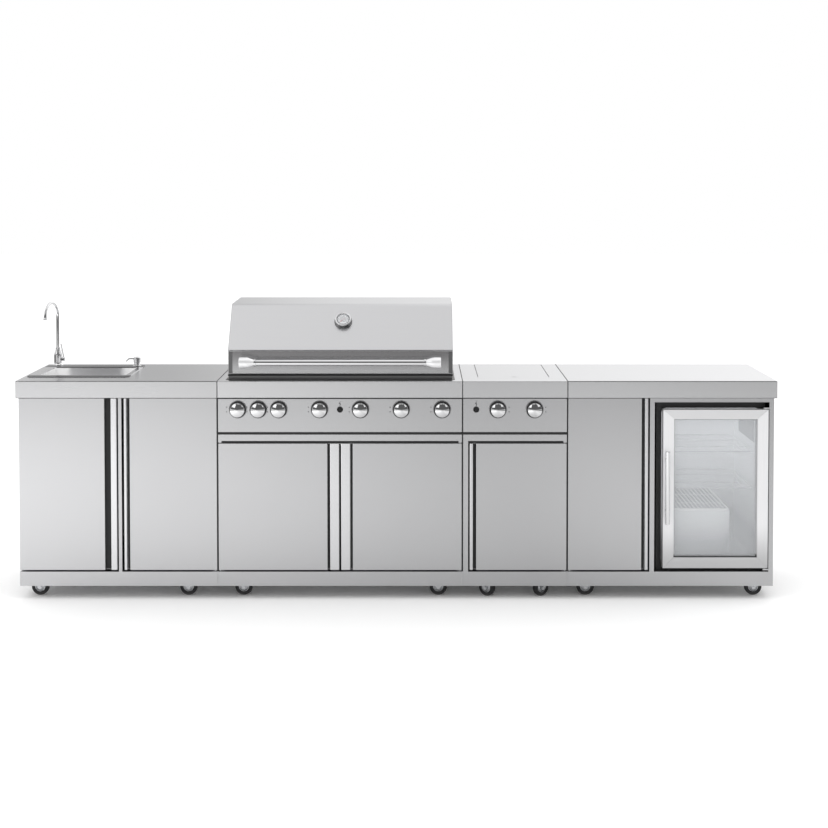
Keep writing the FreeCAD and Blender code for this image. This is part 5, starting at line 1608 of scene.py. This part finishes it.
class ISLAND_OT_stage(Operator):
    """Sets the pale floor, the studio light, the camera and the plain view transform"""

    bl_idname = "island.stage"
    bl_label = "Studio"
    bl_options = UNDOABLE

    # Each lamp: its name, its place and size in metres, and its share of the power
    LAMPS = (("key", (-4.5, -4.5, 4.8), 3.5, 1.0), ("fill", (4.5, -3.5, 5.0), 3.0, 0.5))

    def execute(self, context):
        """Makes the camera first, then the light and the floor."""
        look = context.scene.island_stage
        context.scene.view_settings.view_transform = "Standard"
        self.camera(context.scene, look)
        self.world(context.scene, look)
        self.lamps(context.scene, look)
        self.floor(context.scene, look)
        return {"FINISHED"}

    def camera(self, scene, look):
        """A camera in front of the run, looking slightly down."""
        data = bpy.data.cameras.new("camera")
        data.lens = look.lens
        data.sensor_width = 36.0
        data.shift_x, data.shift_y = look.shift_x, look.shift_y
        data.clip_start, data.clip_end = 0.05, 100.0
        camera = bpy.data.objects.new("camera", data)
        camera.location = look.camera
        camera.rotation_euler = (math.pi / 2 - look.tilt, 0.0, 0.0)
        scene.collection.objects.link(camera)
        scene.camera = camera

    def world(self, scene, look):
        """White to the eye and through glass. Polished metal sees the bright walls too, brighter at
        the right behind the object and at the left in front of it, with the darker room behind the
        camera above the floor's edge. Matt surfaces get an even, slightly stronger light from above."""
        world = bpy.data.worlds.new("studio")
        sky = Finish("studio", world, "Generated")
        x, y, z = sky.axes()
        behind = sky.ramp(
            x + 0.5, (0.255, look.wall * 0.75), (0.29, look.wall * 0.52), (0.345, look.wall * 0.5),
            (0.375, look.wall * 0.62), (0.45, look.wall * 0.87), (0.70, look.wall * 1.10))
        ahead = sky.ramp(x + 0.5, (0.20, look.wall), (0.80, look.wall * 0.72))
        wall = sky.mix(y.between(-0.15, 0.15), ahead, behind)
        facing = (x * 0.08 - y * 0.85).between(0.0, 0.35)
        room = facing * z.between(0.02, 0.05) * (1 - z.between(0.72, 0.9))
        shine = sky.mix(room, wall, opaque([look.room] * 3))
        soft = sky.ramp(z * 0.5 + 0.5, (0.0, look.sky * 0.8), (0.5, look.sky * 0.98), (0.8, look.sky))
        light = sky.mix(sky.ray("Glossy"), soft, shine)
        seen = sky.mix(sky.ray("Camera", "Transmission"), light, WHITE)
        sky.ended(sky.node("ShaderNodeBackground", None, {"Color": seen}), "ShaderNodeOutputWorld")
        scene.world = world

    def lamps(self, scene, look):
        """A softbox high at the left in front, and a weaker one at the right."""
        for name, place, size, power in self.LAMPS:
            data = bpy.data.lights.new(name, "AREA")
            data.size = size
            data.energy = look.key * power
            lamp = bpy.data.objects.new(name, data)
            lamp.location = place
            way = Vector((0.0, 0.0, 0.6)) - lamp.location
            lamp.rotation_euler = way.to_track_quat("-Z", "Y").to_euler()
            scene.collection.objects.link(lamp)

    def floor(self, scene, look):
        """A wide floor, white to the eye outside the object's soft shadow. Metal sees its light fall
        off to the right and towards the object, over a width of sixteen metres."""
        side, fade = 30.0, 1 / 16
        corners = [(-side, -side, 0), (side, -side, 0), (side, side, 0), (-side, side, 0)]
        mesh = bpy.data.meshes.new("floor")
        mesh.from_pydata(corners, [], [(0, 1, 2, 3)])
        floor = bpy.data.objects.new("floor", mesh)
        scene.collection.objects.link(floor)
        ground = Finish("studio_floor")
        x, y, _ = ground.axes()
        across = ground.ramp(
            x * fade + 0.5, (0.08, 0.2), (0.20, 1.15), (0.34, 1.15), (0.375, 1.06), (0.41, 0.96),
            (0.455, 0.86), (0.5025, 0.72), (0.54, 0.64), (0.575, 0.73), (0.60, 0.78), (0.625, 0.65),
            (0.80, 0.65), (0.87, 0.10))
        deep = ground.ramp(
            y * -fade, (0.0375, 0.82), (0.07, 0.89), (0.18, 0.96), (0.34, 0.84), (0.55, 0.76), (0.70, 0.15))
        tint = ground.mix(ground.ray("Glossy"), WHITE, ground.times(across, deep))
        pale = ground.times(tint, opaque(look.floor))
        matt = ground.node("ShaderNodeBsdfDiffuse", None, {"Color": pale})
        seen = ground.ray("Camera", "Glossy", "Transmission")
        glow = ground.node("ShaderNodeEmission", None, {"Color": tint, "Strength": seen * look.glow})
        both = ground.node("ShaderNodeAddShader", None, {0: matt, 1: glow})
        ground.ended(both, "ShaderNodeOutputMaterial")
        mesh.materials.append(ground.material)


STEPS = (
    ISLAND_OT_stage, ISLAND_OT_cabinets, ISLAND_OT_doors, ISLAND_OT_lid, ISLAND_OT_lid_handle,
    ISLAND_OT_thermometer, ISLAND_OT_controls, ISLAND_OT_tap, ISLAND_OT_sink, ISLAND_OT_burner_lid,
    ISLAND_OT_fridge, ISLAND_OT_racks, ISLAND_OT_glass_door, ISLAND_OT_casters,
)


class ISLAND_PT_panel(Panel):
    """Lists the sizes, the colours and the making steps."""

    bl_idname = "ISLAND_PT_panel"
    bl_label = "Kitchen Island"
    bl_space_type = "VIEW_3D"
    bl_region_type = "UI"
    bl_category = "Kitchen Island"

    def draw(self, context):
        """One button for each operator, then each group of settings."""
        column = self.layout.column(align=True)
        for step in STEPS:
            column.operator(step.bl_idname)
        for name, group in SETTINGS.items():
            box = self.layout.box()
            box.label(text=name.replace("island_", "").replace("_", " ").capitalize())
            for key in group.__annotations__:
                box.prop(getattr(context.scene, name), key)


CLASSES = (*SETTINGS.values(), *STEPS, ISLAND_PT_panel)


def register():
    """Registers the classes and gives every scene its settings."""
    for item in CLASSES:
        bpy.utils.register_class(item)
    for name, group in SETTINGS.items():
        setattr(bpy.types.Scene, name, PointerProperty(type=group))


def unregister():
    """Takes away what register added."""
    for name in SETTINGS:
        delattr(bpy.types.Scene, name)
    for item in reversed(CLASSES):
        bpy.utils.unregister_class(item)


def main():
    """Makes everything in order."""
    register()
    for step in STEPS:
        getattr(bpy.ops.island, step.bl_idname.split(".")[1])()


if __name__ == "__main__":
    main()
